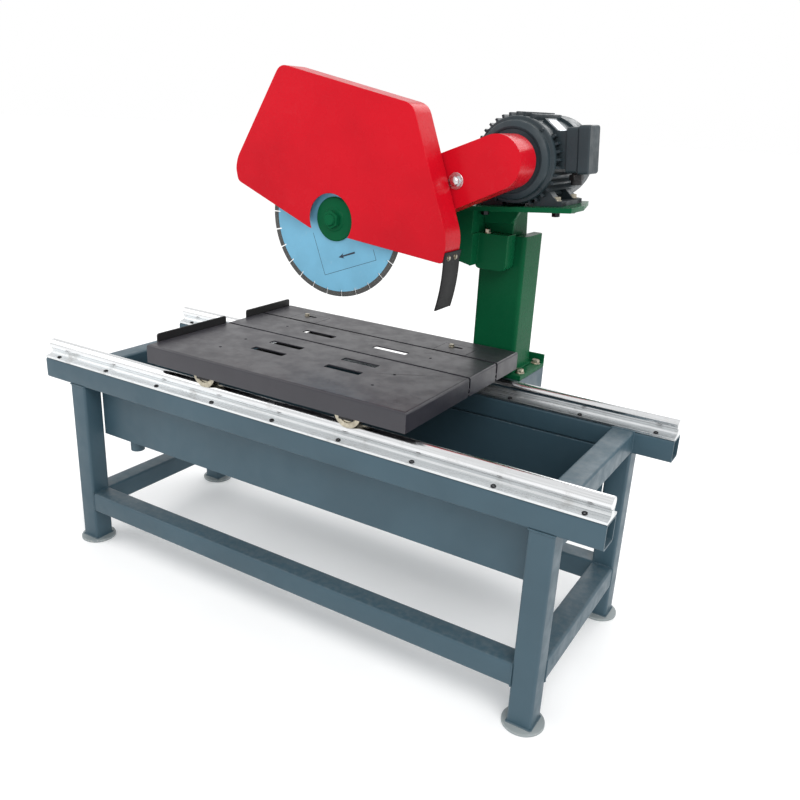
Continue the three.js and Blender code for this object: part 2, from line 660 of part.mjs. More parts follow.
function buildBeltDrive() {
  const { front, rear, sheet } = BELT;
  const coverRear = front + sheet;
  const shell = cut(
    prismY(beltShape(GUARD_LOW, GUARD_HIGH), coverRear + GAP, rear, 10),
    prismY(beltShape(GUARD_LOW, GUARD_HIGH, -sheet), coverRear - 1, rear - sheet, 10),
    rodY(HUB_HOLE, rear - 10, rear + 1, BLADE.x, BLADE.z),
    rodY(HUB_HOLE, rear - 10, rear + 1, MOTOR.x, MOTOR.z));
  piece(head, 'belt_guard_case', shell, RED);
  const cover = cut(
    prismY(beltShape(GUARD_LOW, GUARD_HIGH), front, coverRear, 10),
    rodY(HUB_HOLE, front - 1, coverRear + 1, BLADE.x, BLADE.z));
  piece(head, 'belt_guard_cover', cover, RED);

  const groove = PULLEY.belt;
  const pulley = (radius, bore, x, z) => {
    const { front: y0, rear: y1 } = PULLEY;
    const lip = 4;
    return turnY([
      [bore, y0], [radius + groove, y0], [radius + groove, y0 + 2], [radius, y0 + lip + 4],
      [radius, y1 - lip - 4], [radius + groove, y1 - 2], [radius + groove, y1],
      [bore, y1], [bore, y0],
    ], x, z, 24);
  };
  const bladeBore = BLADE.bore;
  piece(head, 'spindle_pulley', pulley(PULLEY.low, bladeBore, BLADE.x, BLADE.z), STEEL);
  piece(head, 'motor_pulley', pulley(PULLEY.high, MOTOR.shaft + GAP, MOTOR.x, MOTOR.z), STEEL);
  const loose = 0.4;
  const strand = 7;
  const lowWheel = { x: BLADE.x, z: BLADE.z, radius: PULLEY.low };
  const highWheel = { x: MOTOR.x, z: MOTOR.z, radius: PULLEY.high };
  const belt = cut(
    prismY(beltShape(lowWheel, highWheel, loose + strand), PULLEY.front + 9, PULLEY.rear - 9, 10),
    prismY(beltShape(lowWheel, highWheel, loose), PULLEY.front, PULLEY.rear, 10));
  piece(head, 'drive_belt', belt, RUBBER);
}

// ---------------------------------------------------------------- motor

// the finned body: fins all round except at the feet and the terminal box
function finnedOutline() {
  const shape = new THREE.Shape();
  const fins = 28;
  const root = MOTOR.body - 13;
  const half = 0.3 / fins;
  for (let i = 0; i < fins; i += 1) {
    const middle = (i / fins) * 2 * Math.PI;
    const corners = [[-half * 1.7, root], [-half, MOTOR.body], [half, MOTOR.body], [half * 1.7, root]];
    corners.forEach(([turn, radius], k) => {
      const angle = middle + turn * 2 * Math.PI;
      const [x, z] = [radius * Math.cos(angle), radius * Math.sin(angle)];
      if (i || k) shape.lineTo(x, z);
      else shape.moveTo(x, z);
    });
  }
  shape.closePath();
  return shape;
}

function buildMotor() {
  const motor = new THREE.Group();
  motor.position.set(MOTOR.x, 0, MOTOR.z);
  motor.rotation.y = -lean;
  head.add(motor);
  const { front, rear, body, shaft, height } = MOTOR;
  const bodyFront = front + 32;
  const bodyRear = rear - 96;
  const foot = -height + GAP;

  const feet = [-1, 1].map((side) => {
    const inner = 40 * side;
    const outer = 118 * side;
    return prismY(outline([
      [Math.min(inner, outer), foot], [Math.max(inner, outer), foot],
      [side > 0 ? outer : inner - 8, foot + (side > 0 ? 13 : 78)],
      [side > 0 ? inner + 8 : outer, foot + (side > 0 ? 78 : 13)],
    ]), bodyFront + 14, bodyFront + 46);
  });
  const rearFeet = feet.map((geometry) => geometry.clone().translate(0, 114, 0));
  const rails = [[-118, -60], [60, 118]].map(([x0, x1]) =>
    box(x0, x1, bodyFront + 14, bodyFront + 160, foot, foot + 12));
  const { front: boxFront, depth: boxDepth, low, high, seat, lid } = TERMINALS;
  const boxRear = boxFront + boxDepth;
  const boxSeat = box(body - 30, body + 6, boxFront + 8, boxRear - 8, low + 12, high - 12);
  const bore = rodY(shaft + 1, bodyFront - 1, bodyRear + 1, 0, 0);
  const fins = cut(
    prismY(finnedOutline(), bodyFront, bodyRear),
    box(-body, body, bodyFront - 1, bodyRear + 1, -body - 1, 6 - height));
  piece(motor, 'motor_body', cut(join(fins, ...feet, ...rearFeet, ...rails, boxSeat), bore), MOTOR_GREY);

  const shield = turnY([
    [shaft + 1, front], [80, front], [90, front + 3], [95, front + 10], [95, front + 20],
    [104, front + 22], [106, bodyFront - GAP], [shaft + 1, bodyFront - GAP], [shaft + 1, front],
  ], 0, 0, 32);
  piece(motor, 'motor_end_shield', shield, MOTOR_GREY);

  const cowlFront = bodyRear + GAP;
  const cowl = cut(
    turnY([
      [0, cowlFront], [body - 6, cowlFront], [body - 6, rear - 18], [body - 15, rear], [0, rear],
    ], 0, 0, 28),
    turnY([
      [0, cowlFront + 12], [body - 9, cowlFront + 12], [body - 9, rear - 20],
      [body - 17, rear - 3], [0, rear - 3],
    ], 0, 0, 28),
    rodY(shaft + 1, cowlFront - 1, cowlFront + 13, 0, 0),
    ringY(26, 78, rear - 6, rear + 1, 0, 0, 24));
  const grille = [0, 60, 120].map((degrees) =>
    box(-80, 80, rear - 3, rear, -3.5, 3.5).rotateY(THREE.MathUtils.degToRad(degrees)));
  const hub = rodY(28, rear - 3, rear, 0, 0, 24);
  piece(motor, 'fan_cover', join(cowl, hub, ...grille), MOTOR_GREY);

  const blades = Array.from({ length: 7 }, (_, i) =>
    box(20, 84, cowlFront + 22, cowlFront + 54, -2, 2).rotateY((i / 7) * 2 * Math.PI));
  const fan = cut(
    join(
      rodY(26, cowlFront + 18, cowlFront + 54, 0, 0),
      rodY(84, cowlFront + 17, cowlFront + 21, 0, 0, 24),
      ...blades),
    rodY(shaft - 2 + GAP, cowlFront, cowlFront + 60, 0, 0));
  piece(motor, 'cooling_fan', fan, BLACK);

  const rotor = turnY([
    [0, front - 72], [shaft - 1, front - 72], [shaft, front - 71], [shaft, bodyRear], [shaft - 2, bodyRear],
    [shaft - 2, cowlFront + 62], [0, cowlFront + 62],
  ], 0, 0, 24);
  piece(motor, 'motor_shaft', rotor, STEEL);

  const boxLeft = body + 6 + GAP;
  const seam = boxLeft + seat;
  const boxShape = rectangle(boxFront + 4, boxRear - 4, low + 4, high - 4, 8);
  piece(motor, 'terminal_box', prismX(boxShape, boxLeft, seam, 4), MOTOR_GREY);
  const lidShape = rectangle(boxFront, boxRear, low, high, 10);
  piece(motor, 'terminal_lid', prismX(lidShape, seam + GAP, seam + lid, 4), MOTOR_GREY);

  const glandX = boxLeft + seat / 2 + 3;
  const glandY = boxFront + boxDepth / 2;
  const glandTop = low + 4 - GAP;
  const gland = join(
    rodZ(12, glandTop - 6, glandTop, glandX, glandY),
    rodZ(18, glandTop - 19, glandTop - 5, glandX, glandY, 6),
    rodZ(14, glandTop - 30, glandTop - 18, glandX, glandY));
  piece(motor, 'cable_gland', gland, BLACK);
}

// ---------------------------------------------------------------- build

buildFrame();
buildTray();
buildRails();
buildColumn();
buildTable();
buildFences();
buildRollers();
buildMotorPlate();
buildSwingArm();
buildBlade();
buildBladeGuard();
buildFlap();
buildBeltDrive();
buildMotor();

const overallFront = -(RAIL_Y + FOOT_RADIUS);
saw.position.y = -(overallFront + MOTOR.rear) / 2;
saw.updateMatrixWorld(true);

export default saw;
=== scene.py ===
"""Looks of the rail saw: fine meshes, finishes, fasteners, camera, light and floor, in metres."""
import json
import math

import bmesh
import bpy
from mathutils import Matrix, Vector, noise


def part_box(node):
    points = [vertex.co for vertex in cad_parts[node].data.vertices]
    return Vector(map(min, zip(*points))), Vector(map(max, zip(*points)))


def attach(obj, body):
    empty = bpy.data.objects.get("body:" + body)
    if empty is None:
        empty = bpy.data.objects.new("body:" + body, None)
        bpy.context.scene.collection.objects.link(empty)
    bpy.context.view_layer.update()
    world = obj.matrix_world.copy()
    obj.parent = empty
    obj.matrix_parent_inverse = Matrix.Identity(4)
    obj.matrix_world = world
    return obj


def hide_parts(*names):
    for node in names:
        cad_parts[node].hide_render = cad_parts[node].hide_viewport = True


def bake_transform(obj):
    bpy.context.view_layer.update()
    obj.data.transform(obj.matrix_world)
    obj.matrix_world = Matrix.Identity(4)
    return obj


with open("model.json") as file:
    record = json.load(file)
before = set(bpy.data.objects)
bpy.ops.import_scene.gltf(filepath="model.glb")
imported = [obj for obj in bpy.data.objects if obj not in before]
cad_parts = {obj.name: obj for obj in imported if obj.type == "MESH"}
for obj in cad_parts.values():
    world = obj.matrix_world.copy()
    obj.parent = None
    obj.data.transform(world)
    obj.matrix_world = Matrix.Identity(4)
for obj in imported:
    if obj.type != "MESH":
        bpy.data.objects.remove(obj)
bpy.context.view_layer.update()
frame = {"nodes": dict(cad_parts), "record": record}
scene = bpy.context.scene
scene.view_settings.view_transform = "Standard"

MM = 0.001
LEAN = math.radians(4.5)             # the motor and its plate lean at rest
RAIL_PITCH = 0.2                     # between the rail's screws
ALONG_Y = Vector((0, -1, 0))         # from a piece's rear face to its front face


def low(node):
    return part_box(node)[0]


def high(node):
    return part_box(node)[1]


def middle(node):
    return (low(node) + high(node)) / 2


def measured(node):
    return low(node), high(node), middle(node)


# ------- node trees

def new_material(name):
    material = bpy.data.materials.new(name)
    material.use_nodes = True
    tree = material.node_tree
    return material, tree, tree.nodes["Principled BSDF"]


def connect(tree, socket, value):
    """Links a socket to a node's output, or sets the socket's own value."""
    if isinstance(value, bpy.types.NodeSocket):
        tree.links.new(value, socket)
    else:
        socket.default_value = value


def feed(tree, made, **inputs):
    for key, value in inputs.items():
        connect(tree, made.inputs[key.replace("_", " ")], value)


def node(tree, kind, settings=None, **inputs):
    made = tree.nodes.new(kind)
    for key, value in (settings or {}).items():
        setattr(made, key, value)
    feed(tree, made, **inputs)
    return made


def place(tree, stretch=(1, 1, 1)):
    """Object coordinates in metres, stretched along an axis for streaks."""
    coordinates = tree.nodes.new("ShaderNodeTexCoord").outputs["Object"]
    return node(tree, "ShaderNodeMapping", Vector=coordinates, Scale=stretch).outputs[0]


def cloud(tree, where, scale, detail=3, rough=0.55):
    made = node(tree, "ShaderNodeTexNoise", Vector=where, Scale=scale, Detail=detail, Roughness=rough)
    return made.outputs["Fac"]


def span(tree, value, start, end, to_low=0.0, to_high=1.0):
    """value from start to end becomes to_low to to_high, and stays there outside."""
    made = node(tree, "ShaderNodeMapRange", {"interpolation_type": "SMOOTHSTEP"},
                Value=value, From_Min=start, From_Max=end, To_Min=to_low, To_Max=to_high)
    return made.outputs[0]


def arithmetic(tree, operation, a, b):
    made = node(tree, "ShaderNodeMath", {"operation": operation})
    connect(tree, made.inputs[0], a)
    connect(tree, made.inputs[1], b)
    return made.outputs[0]


def times(tree, a, b):
    return arithmetic(tree, "MULTIPLY", a, b)


def plus(tree, a, b):
    return arithmetic(tree, "ADD", a, b)


def blend_colour(tree, amount, a, b):
    made = node(tree, "ShaderNodeMix", {"data_type": "RGBA"})
    connect(tree, made.inputs[0], amount)
    for socket, colour in ((made.inputs[6], a), (made.inputs[7], b)):
        connect(tree, socket, (*colour, 1) if isinstance(colour, tuple) else colour)
    return made.outputs[2]


def bump(tree, shader, *layers):
    """Each layer is (height, depth in metres)."""
    normal = None
    for height, depth in layers:
        made = node(tree, "ShaderNodeBump", Height=height, Distance=depth, Strength=1.0)
        if normal:
            feed(tree, made, Normal=normal)
        normal = made.outputs[0]
    feed(tree, shader, Normal=normal)


def facing_up(tree):
    normal = tree.nodes.new("ShaderNodeNewGeometry").outputs["Normal"]
    return node(tree, "ShaderNodeSeparateXYZ", Vector=normal).outputs["Z"]


def shade_of(colour, factor):
    return tuple(min(1.0, c * factor) for c in colour)


def mottled(tree, where, colour, scale, darker, lighter):
    """The colour in soft patches, from darker to lighter."""
    patches = span(tree, cloud(tree, where, scale, 4), 0.3, 0.7)
    return blend_colour(tree, patches, shade_of(colour, darker), shade_of(colour, lighter))


# ------- finishes

DUST = (0.32, 0.31, 0.29)
# lighter, greyer colour mixed into a finish within a centimetre of the floor
NEAR_FLOOR_GREY = (0.33, 0.36, 0.36)


def painted(name, colour, roughness=0.38, wear_colour=(0.34, 0.33, 0.31), dust=0.12, gloss=0.0,
            wear=0.35, rubs=0.06, shine=0.35, pale_near_floor=False):
    """Sprayed paint: uneven tone, orange peel, faint rubs, dust on what faces up, chips on worn edges.

    Where asked, a finish is also lighter and greyer within a centimetre of the floor."""
    material, tree, shader = new_material(name)
    where = place(tree)
    tone = cloud(tree, where, 4.5, 4)
    base = blend_colour(tree, span(tree, tone, 0.3, 0.7), shade_of(colour, 0.93), shade_of(colour, 1.07))
    rub = times(tree, span(tree, cloud(tree, where, 13, 5, 0.7), 0.56, 0.74),
                span(tree, cloud(tree, where, 140, 3, 0.6), 0.35, 0.65))
    base = blend_colour(tree, times(tree, rub, rubs), base, tuple(0.6 * c + 0.1 for c in colour))
    grain = span(tree, cloud(tree, where, 60, 5, 0.65), 0.35, 0.7)
    up = span(tree, facing_up(tree), 0.5, 1.0)
    dusty = times(tree, times(tree, up, grain), dust)
    base = blend_colour(tree, dusty, base, DUST)
    edge = node(tree, "ShaderNodeAttribute", {"attribute_name": "wear"}).outputs["Fac"]
    chips = times(tree, edge, span(tree, cloud(tree, where, 85, 5, 0.7), 0.56, 0.6))
    chips = times(tree, chips, wear)
    base = blend_colour(tree, chips, base, wear_colour)
    # lighter and greyer within a centimetre of the floor, from the height alone
    if pale_near_floor:
        height = node(tree, "ShaderNodeSeparateXYZ", Vector=where).outputs["Z"]
        near_floor = span(tree, height, 8.5 * MM, 11 * MM, 1.0, 0.0)
        near_floor_mix = times(tree, near_floor, span(tree, tone, 0.2, 0.6, 0.45, 0.8))
        base = blend_colour(tree, near_floor_mix, base, NEAR_FLOOR_GREY)
    rough = span(tree, cloud(tree, where, 24, 4), 0.3, 0.7, roughness * 0.82, roughness * 1.2)
    rough = plus(tree, rough, times(tree, rub, 0.18))
    feed(tree, shader, Base_Color=base, Roughness=plus(tree, rough, times(tree, dusty, 0.5)),
         Specular_IOR_Level=shine, Coat_Weight=gloss, Coat_Roughness=0.12)
    bump(tree, shader, (cloud(tree, where, 420, 2), 0.00006), (cloud(tree, where, 22, 3), 0.00025))
    return material


def cast_paint(name, colour):
    """Paint over sand-cast metal."""
    material, tree, shader = new_material(name)
    where = place(tree)
    base = mottled(tree, where, colour, 9, 0.8, 1.2)
    up = span(tree, facing_up(tree), 0.4, 1.0)
    dusty = times(tree, times(tree, up, span(tree, cloud(tree, where, 70, 5, 0.7), 0.35, 0.7)), 0.18)
    base = blend_colour(tree, dusty, base, (0.26, 0.26, 0.25))
    rough = span(tree, cloud(tree, where, 40, 4), 0.3, 0.7, 0.36, 0.56)
    feed(tree, shader, Base_Color=base, Roughness=rough, Specular_IOR_Level=0.35)
    bump(tree, shader, (cloud(tree, where, 500, 4, 0.7), 0.00014), (cloud(tree, where, 60, 3), 0.0003))
    return material


def bright_metal(name, colour, roughness, streak=(1, 60, 60), grime=0.25):
    """Drawn or ground metal with streaks along one axis, fine scratches and thin grime."""
    material, tree, shader = new_material(name)
    where = place(tree)
    along = place(tree, streak)
    lines = cloud(tree, along, 6, 6, 0.7)
    stain = times(tree, span(tree, cloud(tree, where, 18, 5, 0.7), 0.52, 0.75), grime)
    base = blend_colour(tree, span(tree, lines, 0.3, 0.7), shade_of(colour, 0.88), shade_of(colour, 1.05))
    base = blend_colour(tree, stain, base, (0.22, 0.2, 0.17))
    rough = span(tree, lines, 0.25, 0.75, roughness * 0.7, roughness * 1.35)
    rough = plus(tree, rough, times(tree, stain, 0.8))
    feed(tree, shader, Base_Color=base, Roughness=rough, Metallic=1.0)
    bump(tree, shader, (lines, 0.00003), (cloud(tree, where, 150, 4), 0.00003))
    return material


def zinc(name, colour=(0.47, 0.43, 0.34)):
    """Zinc plating with a faint yellow passivation and dull blotches."""
    material, tree, shader = new_material(name)
    where = place(tree)
    blotch = span(tree, cloud(tree, where, 55, 5, 0.65), 0.35, 0.68)
    base = blend_colour(tree, blotch, shade_of(colour, 0.72), shade_of(colour, 1.1))
    feed(tree, shader, Base_Color=base, Roughness=span(tree, blotch, 0, 1, 0.42, 0.26), Metallic=1.0)
    bump(tree, shader, (cloud(tree, where, 300, 3), 0.00004))
    return material


def rubber(name, colour=(0.008, 0.008, 0.009)):
    material, tree, shader = new_material(name)
    where = place(tree)
    chalk = times(tree, span(tree, cloud(tree, where, 45, 5, 0.7), 0.5, 0.75), 0.4)
    base = blend_colour(tree, chalk, colour, (0.035, 0.035, 0.035))
    rough = span(tree, chalk, 0, 0.5, 0.5, 0.8)
    feed(tree, shader, Base_Color=base, Roughness=rough, Specular_IOR_Level=0.25)
    ribs = cloud(tree, place(tree, (1, 40, 1)), 30, 3)
    bump(tree, shader, (ribs, 0.00012), (cloud(tree, where, 600, 2), 0.00005))
    return material


def gritty(name):
    """Sintered diamond segment: dark metal full of grit."""
    material, tree, shader = new_material(name)
    where = place(tree)
    grit = node(tree, "ShaderNodeTexVoronoi", Vector=where, Scale=900.0).outputs["Distance"]
    base = blend_colour(tree, span(tree, grit, 0.15, 0.5), (0.22, 0.22, 0.21), (0.055, 0.056, 0.055))
    feed(tree, shader, Base_Color=base, Roughness=0.62, Metallic=0.45)
    bump(tree, shader, (grit, 0.0002))
    return material


def vector_node(tree, operation, where, second=None):
    made = node(tree, "ShaderNodeVectorMath", {"operation": operation})
    connect(tree, made.inputs[0], where)
    if second:
        connect(tree, made.inputs[1], second)
    return made


def sprayed_steel(name, colour):
    """Thin satin colour on the blade's ground steel, with circular grinding marks under it."""
    material, tree, shader = new_material(name)
    where = place(tree)
    shifted = vector_node(tree, "SUBTRACT", where, middle("blade_core"))
    flat = vector_node(tree, "MULTIPLY", shifted.outputs[0], (1, 0, 1))
    radius = vector_node(tree, "LENGTH", flat.outputs[0]).outputs["Value"]
    rings = node(tree, "ShaderNodeTexNoise", {"noise_dimensions": "1D"}, W=radius, Scale=900.0, Detail=3.0)
    rings = rings.outputs["Fac"]
    base = mottled(tree, where, colour, 12, 0.93, 1.06)
    scuffed = times(tree, span(tree, cloud(tree, where, 70, 5, 0.7), 0.6, 0.78), 0.3)
    base = blend_colour(tree, scuffed, base, (0.5, 0.55, 0.58))
    feed(tree, shader, Base_Color=base, Roughness=span(tree, rings, 0.3, 0.7, 0.28, 0.4), Metallic=0.15)
    bump(tree, shader, (rings, 0.00003))
    return material


# the frame's paint is lighter and greyer within a centimetre of the floor
FRAME_PAINT = painted("frame_paint", (0.042, 0.082, 0.108), 0.42, pale_near_floor=True)
TABLE_PAINT = painted("table_paint", (0.022, 0.021, 0.028), 0.36, wear_colour=(0.16, 0.16, 0.16), dust=0.05,
                      rubs=0.035, shine=0.55)
BLACK_PAINT = painted("black_paint", (0.010, 0.010, 0.011), 0.5, dust=0.06, wear=0.3)
GREEN_PAINT = painted("green_paint", (0.004, 0.088, 0.034), 0.26, wear_colour=(0.03, 0.16, 0.07), dust=0.05,
                      gloss=0.02, rubs=0.03, shine=0.03)
RED_PAINT = painted("red_paint", (0.50, 0.004, 0.013), 0.26, wear_colour=(0.5, 0.05, 0.05), dust=0.04,
                    gloss=0.05, rubs=0.05, shine=0.09)
MOTOR_PAINT = cast_paint("motor_paint", (0.020, 0.032, 0.039))
RAIL_METAL = bright_metal("rail_metal", (0.72, 0.74, 0.75), 0.3, grime=0.4)
SHAFT_STEEL = bright_metal("shaft_steel", (0.74, 0.75, 0.76), 0.18)
BARE_STEEL = bright_metal("bare_steel", (0.62, 0.63, 0.64), 0.28, streak=(60, 1, 60))
ZINC = zinc("zinc_steel")
BLACK_OXIDE = zinc("black_oxide", (0.035, 0.035, 0.038))
RUBBER = rubber("black_rubber")
SEGMENT = gritty("diamond_segment")
BLADE_PAINT = sprayed_steel("blade_paint", (0.145, 0.39, 0.56))
INK = painted("dark_ink", (0.02, 0.03, 0.05), 0.5, dust=0.0)
PLATE_ALLOY = bright_metal("plate_alloy", (0.5, 0.53, 0.57), 0.4, streak=(1, 40, 1), grime=0.1)

SLOT_FINISH = {
    "frame_paint": FRAME_PAINT, "table_paint": TABLE_PAINT, "black_paint": BLACK_PAINT,
    "green_paint": GREEN_PAINT, "red_paint": RED_PAINT, "motor_paint": MOTOR_PAINT,
    "rail_metal": RAIL_METAL, "shaft_steel": SHAFT_STEEL, "zinc_steel": ZINC,
    "blade_paint": BLADE_PAINT, "diamond_segment": SEGMENT, "black_rubber": RUBBER,
}
slot_of = {part["node"]: part["material_slot"] for part in frame["record"]["subparts"]}
body_of = {member: body for body, members in frame["record"]["behaviour"]["bodies"].items()
           for member in members}


# ------- mesh helpers

def baked(made):
    """Turns a piece's modifiers into its mesh."""
    evaluated = made.evaluated_get(bpy.context.evaluated_depsgraph_get())
    mesh = bpy.data.meshes.new_from_object(evaluated)
    made.modifiers.clear()
    made.data = mesh
    return made


def even_normals(made):
    """Keeps broad faces flat beside their rounded edges."""
    modifier = made.modifiers.new("even_normals", "WEIGHTED_NORMAL")
    modifier.keep_sharp = True
    baked(made)


def finished(name, bm, smooth=35, even=False):
    """A piece made of this mesh, shaded smooth up to an angle in degrees."""
    bmesh.ops.recalc_face_normals(bm, faces=bm.faces)
    mesh = bpy.data.meshes.new(name)
    bm.to_mesh(mesh)
    bm.free()
    for face in mesh.polygons:
        face.use_smooth = True
    mesh.set_sharp_from_angle(angle=math.radians(smooth))
    made = bpy.data.objects.new(name, mesh)
    scene.collection.objects.link(made)
    if even:
        even_normals(made)
    return made


def put(made, body, slot, material=None, *nodes):
    """Gives a piece its finish and its body, and hides the CAD nodes that it stands for."""
    made.data.materials.clear()
    made.data.materials.append(material or SLOT_FINISH[slot])
    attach(made, body)
    if nodes:
        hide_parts(*nodes)
    return made


def stand_for(made, *nodes, material=None):
    """The piece takes the place and body of the first of these CAD nodes, and the finish of its slot unless
    a material is given.
    """
    return put(made, body_of[nodes[0]], slot_of[nodes[0]], material, *nodes)


def soften(bm, width, segments=2, angle=30):
    """Rounds every edge sharper than angle, and marks the rounded strips as worn."""
    limit = math.radians(angle)
    sharp = [e for e in bm.edges if len(e.link_faces) == 2 and e.calc_face_angle(0) > limit]
    layer = bm.faces.layers.float.get("wear") or bm.faces.layers.float.new("wear")
    rounded = bmesh.ops.bevel(bm, geom=sharp, offset=width, segments=segments, profile=0.5, affect="EDGES")
    for face in rounded["faces"]:
        face[layer] = 1.0


def refined(name, width=0.8 * MM, segments=2, angle=30):
    """A CAD node's own shape with its edges rounded."""
    bm = bmesh.new()
    bm.from_mesh(frame["nodes"][name].data)
    bmesh.ops.remove_doubles(bm, verts=bm.verts, dist=0.02 * MM)
    bmesh.ops.dissolve_limit(bm, angle_limit=math.radians(0.6), verts=bm.verts, edges=bm.edges)
    soften(bm, width, segments, angle)
    return stand_for(finished("fine_" + name, bm, even=True), name)


def ring_faces(bm, first, second):
    count = len(first)
    for i in range(count):
        j = (i + 1) % count
        bm.faces.new((first[i], first[j], second[j], second[i]))


def lathe_into(bm, profile, to_world, segments=64):
    """Adds a solid of revolution about the local Z axis; profile is (radius, height) points."""
    rings = []
    for radius, height in profile:
        around = polygon(radius, segments) if radius else [(0, 0)]
        rings.append([bm.verts.new(to_world @ Vector((x, y, height))) for x, y in around])
    for first, second in zip(rings, rings[1:]):
        if len(first) == 1 and len(second) == 1:
            continue
        if len(first) == 1 or len(second) == 1:
            tip, ring = (first[0], second) if len(first) == 1 else (second[0], first)
            for i in range(segments):
                bm.faces.new((tip, ring[i], ring[(i + 1) % segments]))
        else:
            ring_faces(bm, first, second)


def in_mm(points):
    return [(a * MM, b * MM) for a, b in points]


def axis_frame(origin, direction):
    """A matrix that takes the local Z axis to direction, at origin."""
    return Matrix.Translation(origin) @ Vector(direction).to_track_quat("Z", "Y").to_matrix().to_4x4()


def lathe(name, profile, origin, direction=ALONG_Y, segments=64, smooth=30):
    bm = bmesh.new()
    lathe_into(bm, profile, axis_frame(origin, direction), segments)
    return finished(name, bm, smooth)


def prism_into(bm, outline, to_world, depth, hole=()):
    """Adds an outline in local X and Y, extruded along Z; its hole has as many points as it has."""
    def rims(points):
        return [[bm.verts.new(to_world @ Vector((x, y, z))) for x, y in points] for z in (0, depth)]
    bottom, top = rims(outline)
    ring_faces(bm, bottom, top)
    if hole:
        inner_bottom, inner_top = rims(hole)
        ring_faces(bm, inner_bottom, inner_top)
        ring_faces(bm, bottom, inner_bottom)
        ring_faces(bm, top, inner_top)
    else:
        bm.faces.new(bottom)
        bm.faces.new(top)


def chamfered_rod(radius, length, chamfer):
    """The profile of a round bar with a chamfer at each end."""
    return [(0, 0), (radius - chamfer, 0), (radius, chamfer), (radius, length - chamfer),
            (radius - chamfer, length), (0, length)]


def rounded_rectangle(width, height, radius, steps=5):
    points = []
    for corner, (sx, sy) in enumerate(((1, 1), (-1, 1), (-1, -1), (1, -1))):
        cx, cy = sx * (width / 2 - radius), sy * (height / 2 - radius)
        for i in range(steps + 1):
            turn = math.pi / 2 * (corner + i / steps)
            points.append((cx + radius * math.cos(turn), cy + radius * math.sin(turn)))
    return points


def on_circle(radius, turn):
    return (radius * math.cos(turn), radius * math.sin(turn))


def polygon(radius, count, turn=0.0):
    return [on_circle(radius, 2 * math.pi * i / count + turn) for i in range(count)]


def arc_points(radius, start, end, steps):
    return [on_circle(radius, start + (end - start) * i / steps) for i in range(steps + 1)]


def washer_into(bm, to_world, radius, thickness, segments=32):
    profile = [(0, 0), (radius, 0), (radius, thickness * 0.7), (radius * 0.97, thickness), (0, thickness)]
    lathe_into(bm, profile, to_world, segments)


# ------- fasteners and welds

def hex_head_into(bm, to_world, across, height, washer=0.0):
    """A hexagon head with a chamfered crown, on a washer, its seat at the local origin."""
    radius = across / math.sqrt(3)
    seat = 0.0
    if washer:
        seat = across * 0.12
        washer_into(bm, to_world, washer, seat)
    prism_into(bm, polygon(radius, 6, 0.3), to_world @ Matrix.Translation((0, 0, seat)), height)
    base = seat + height - 0.5 * MM
    crown = seat + height + across * 0.04
    lathe_into(bm, [(0, base), (radius * 0.84, base), (radius * 0.74, crown), (0, crown)], to_world, 24)


def socket_head_into(bm, to_world, radius, height):
    """A socket head cap screw with a rounded top edge."""
    socket = radius * 0.5
    wall = [(0, 0), (radius, 0), (radius, height * 0.85), (radius * 0.9, height), (radius * 0.56, height),
            (socket, height * 0.92), (socket, height * 0.35), (0, height * 0.3)]
    lathe_into(bm, wall, to_world, 18)


def dome_into(bm, to_world, radius, height, washer):
    """A domed cap nut on a washer."""
    seat = 2 * MM
    flats = height * 0.42
    washer_into(bm, to_world, washer, seat, 40)
    prism_into(bm, polygon(radius * 1.12, 6), to_world @ Matrix.Translation((0, 0, seat)), flats)
    steps = 8
    crown = [on_circle(1.0, math.pi / 2 * i / steps) for i in range(steps)]
    profile = [(radius * x, seat + flats + (height - flats) * y) for x, y in crown]
    lathe_into(bm, [(0, seat + flats), *profile, (0, seat + height)], to_world, 32)


def bead_into(bm, path, radius, closed=False, ripple=4.2 * MM):
    """A weld bead along a path: a low rope of overlapping scales."""
    points = [Vector(p) for p in path] + ([Vector(path[0])] if closed else [])
    sections = []
    travelled = 0.0
    for a, b in zip(points, points[1:]):
        direction = (b - a).normalized()
        side = direction.cross(Vector((0.31, 0.52, 0.79))).normalized()
        lift = direction.cross(side)
        count = max(2, int((b - a).length / (ripple / 3)))
        for i in range(count + (b is points[-1] and not closed)):
            here = a.lerp(b, i / count)
            scale = 0.78 + 0.22 * abs(math.sin(math.pi * (travelled + (here - a).length) / ripple))
            scale += 0.12 * noise.noise(here * 90)
            sections.append([bm.verts.new(here + radius * scale * (math.cos(t) * side + math.sin(t) * lift))
                             for t in [2 * math.pi * k / 7 for k in range(7)]])
        travelled += (b - a).length
    for first, second in zip(sections, sections[1:]):
        ring_faces(bm, first, second)
    if closed:
        ring_faces(bm, sections[-1], sections[0])
    else:
        bm.faces.new(sections[0])
        bm.faces.new(sections[-1])


def square_path(centre, half_a, half_b, axis):
    """A closed rectangle round a point, in the plane square to axis (0 for X, 1 for Y, 2 for Z)."""
    a, b = [k for k in range(3) if k != axis]
    path = []
    for sa, sb in ((1, 1), (-1, 1), (-1, -1), (1, -1)):
        point = Vector(centre)
        point[a] += sa * half_a
        point[b] += sb * half_b
        path.append(point)
    return path


# ------- frame

TUBE = 60 * MM
CORNER = 7 * MM                      # outer corner radius of the square tube
WALL = 4 * MM
FOOT = 8 * MM                        # thickness of a foot plate
FOOT_WEAR = 2.6                      # of a foot's edge; a rounded edge elsewhere has 1


def square_tube_into(bm, start, end):
    direction = (end - start).normalized()
    across = Vector((0, 0, 1)) if abs(direction.z) < 0.5 else Vector((1, 0, 0))
    other = direction.cross(across)
    turn = Matrix((across, other, direction)).transposed().to_4x4()
    outer = rounded_rectangle(TUBE, TUBE, CORNER)
    inner = rounded_rectangle(TUBE - 2 * WALL, TUBE - 2 * WALL, CORNER - WALL)
    prism_into(bm, outer, Matrix.Translation(start) @ turn, (end - start).length, inner)


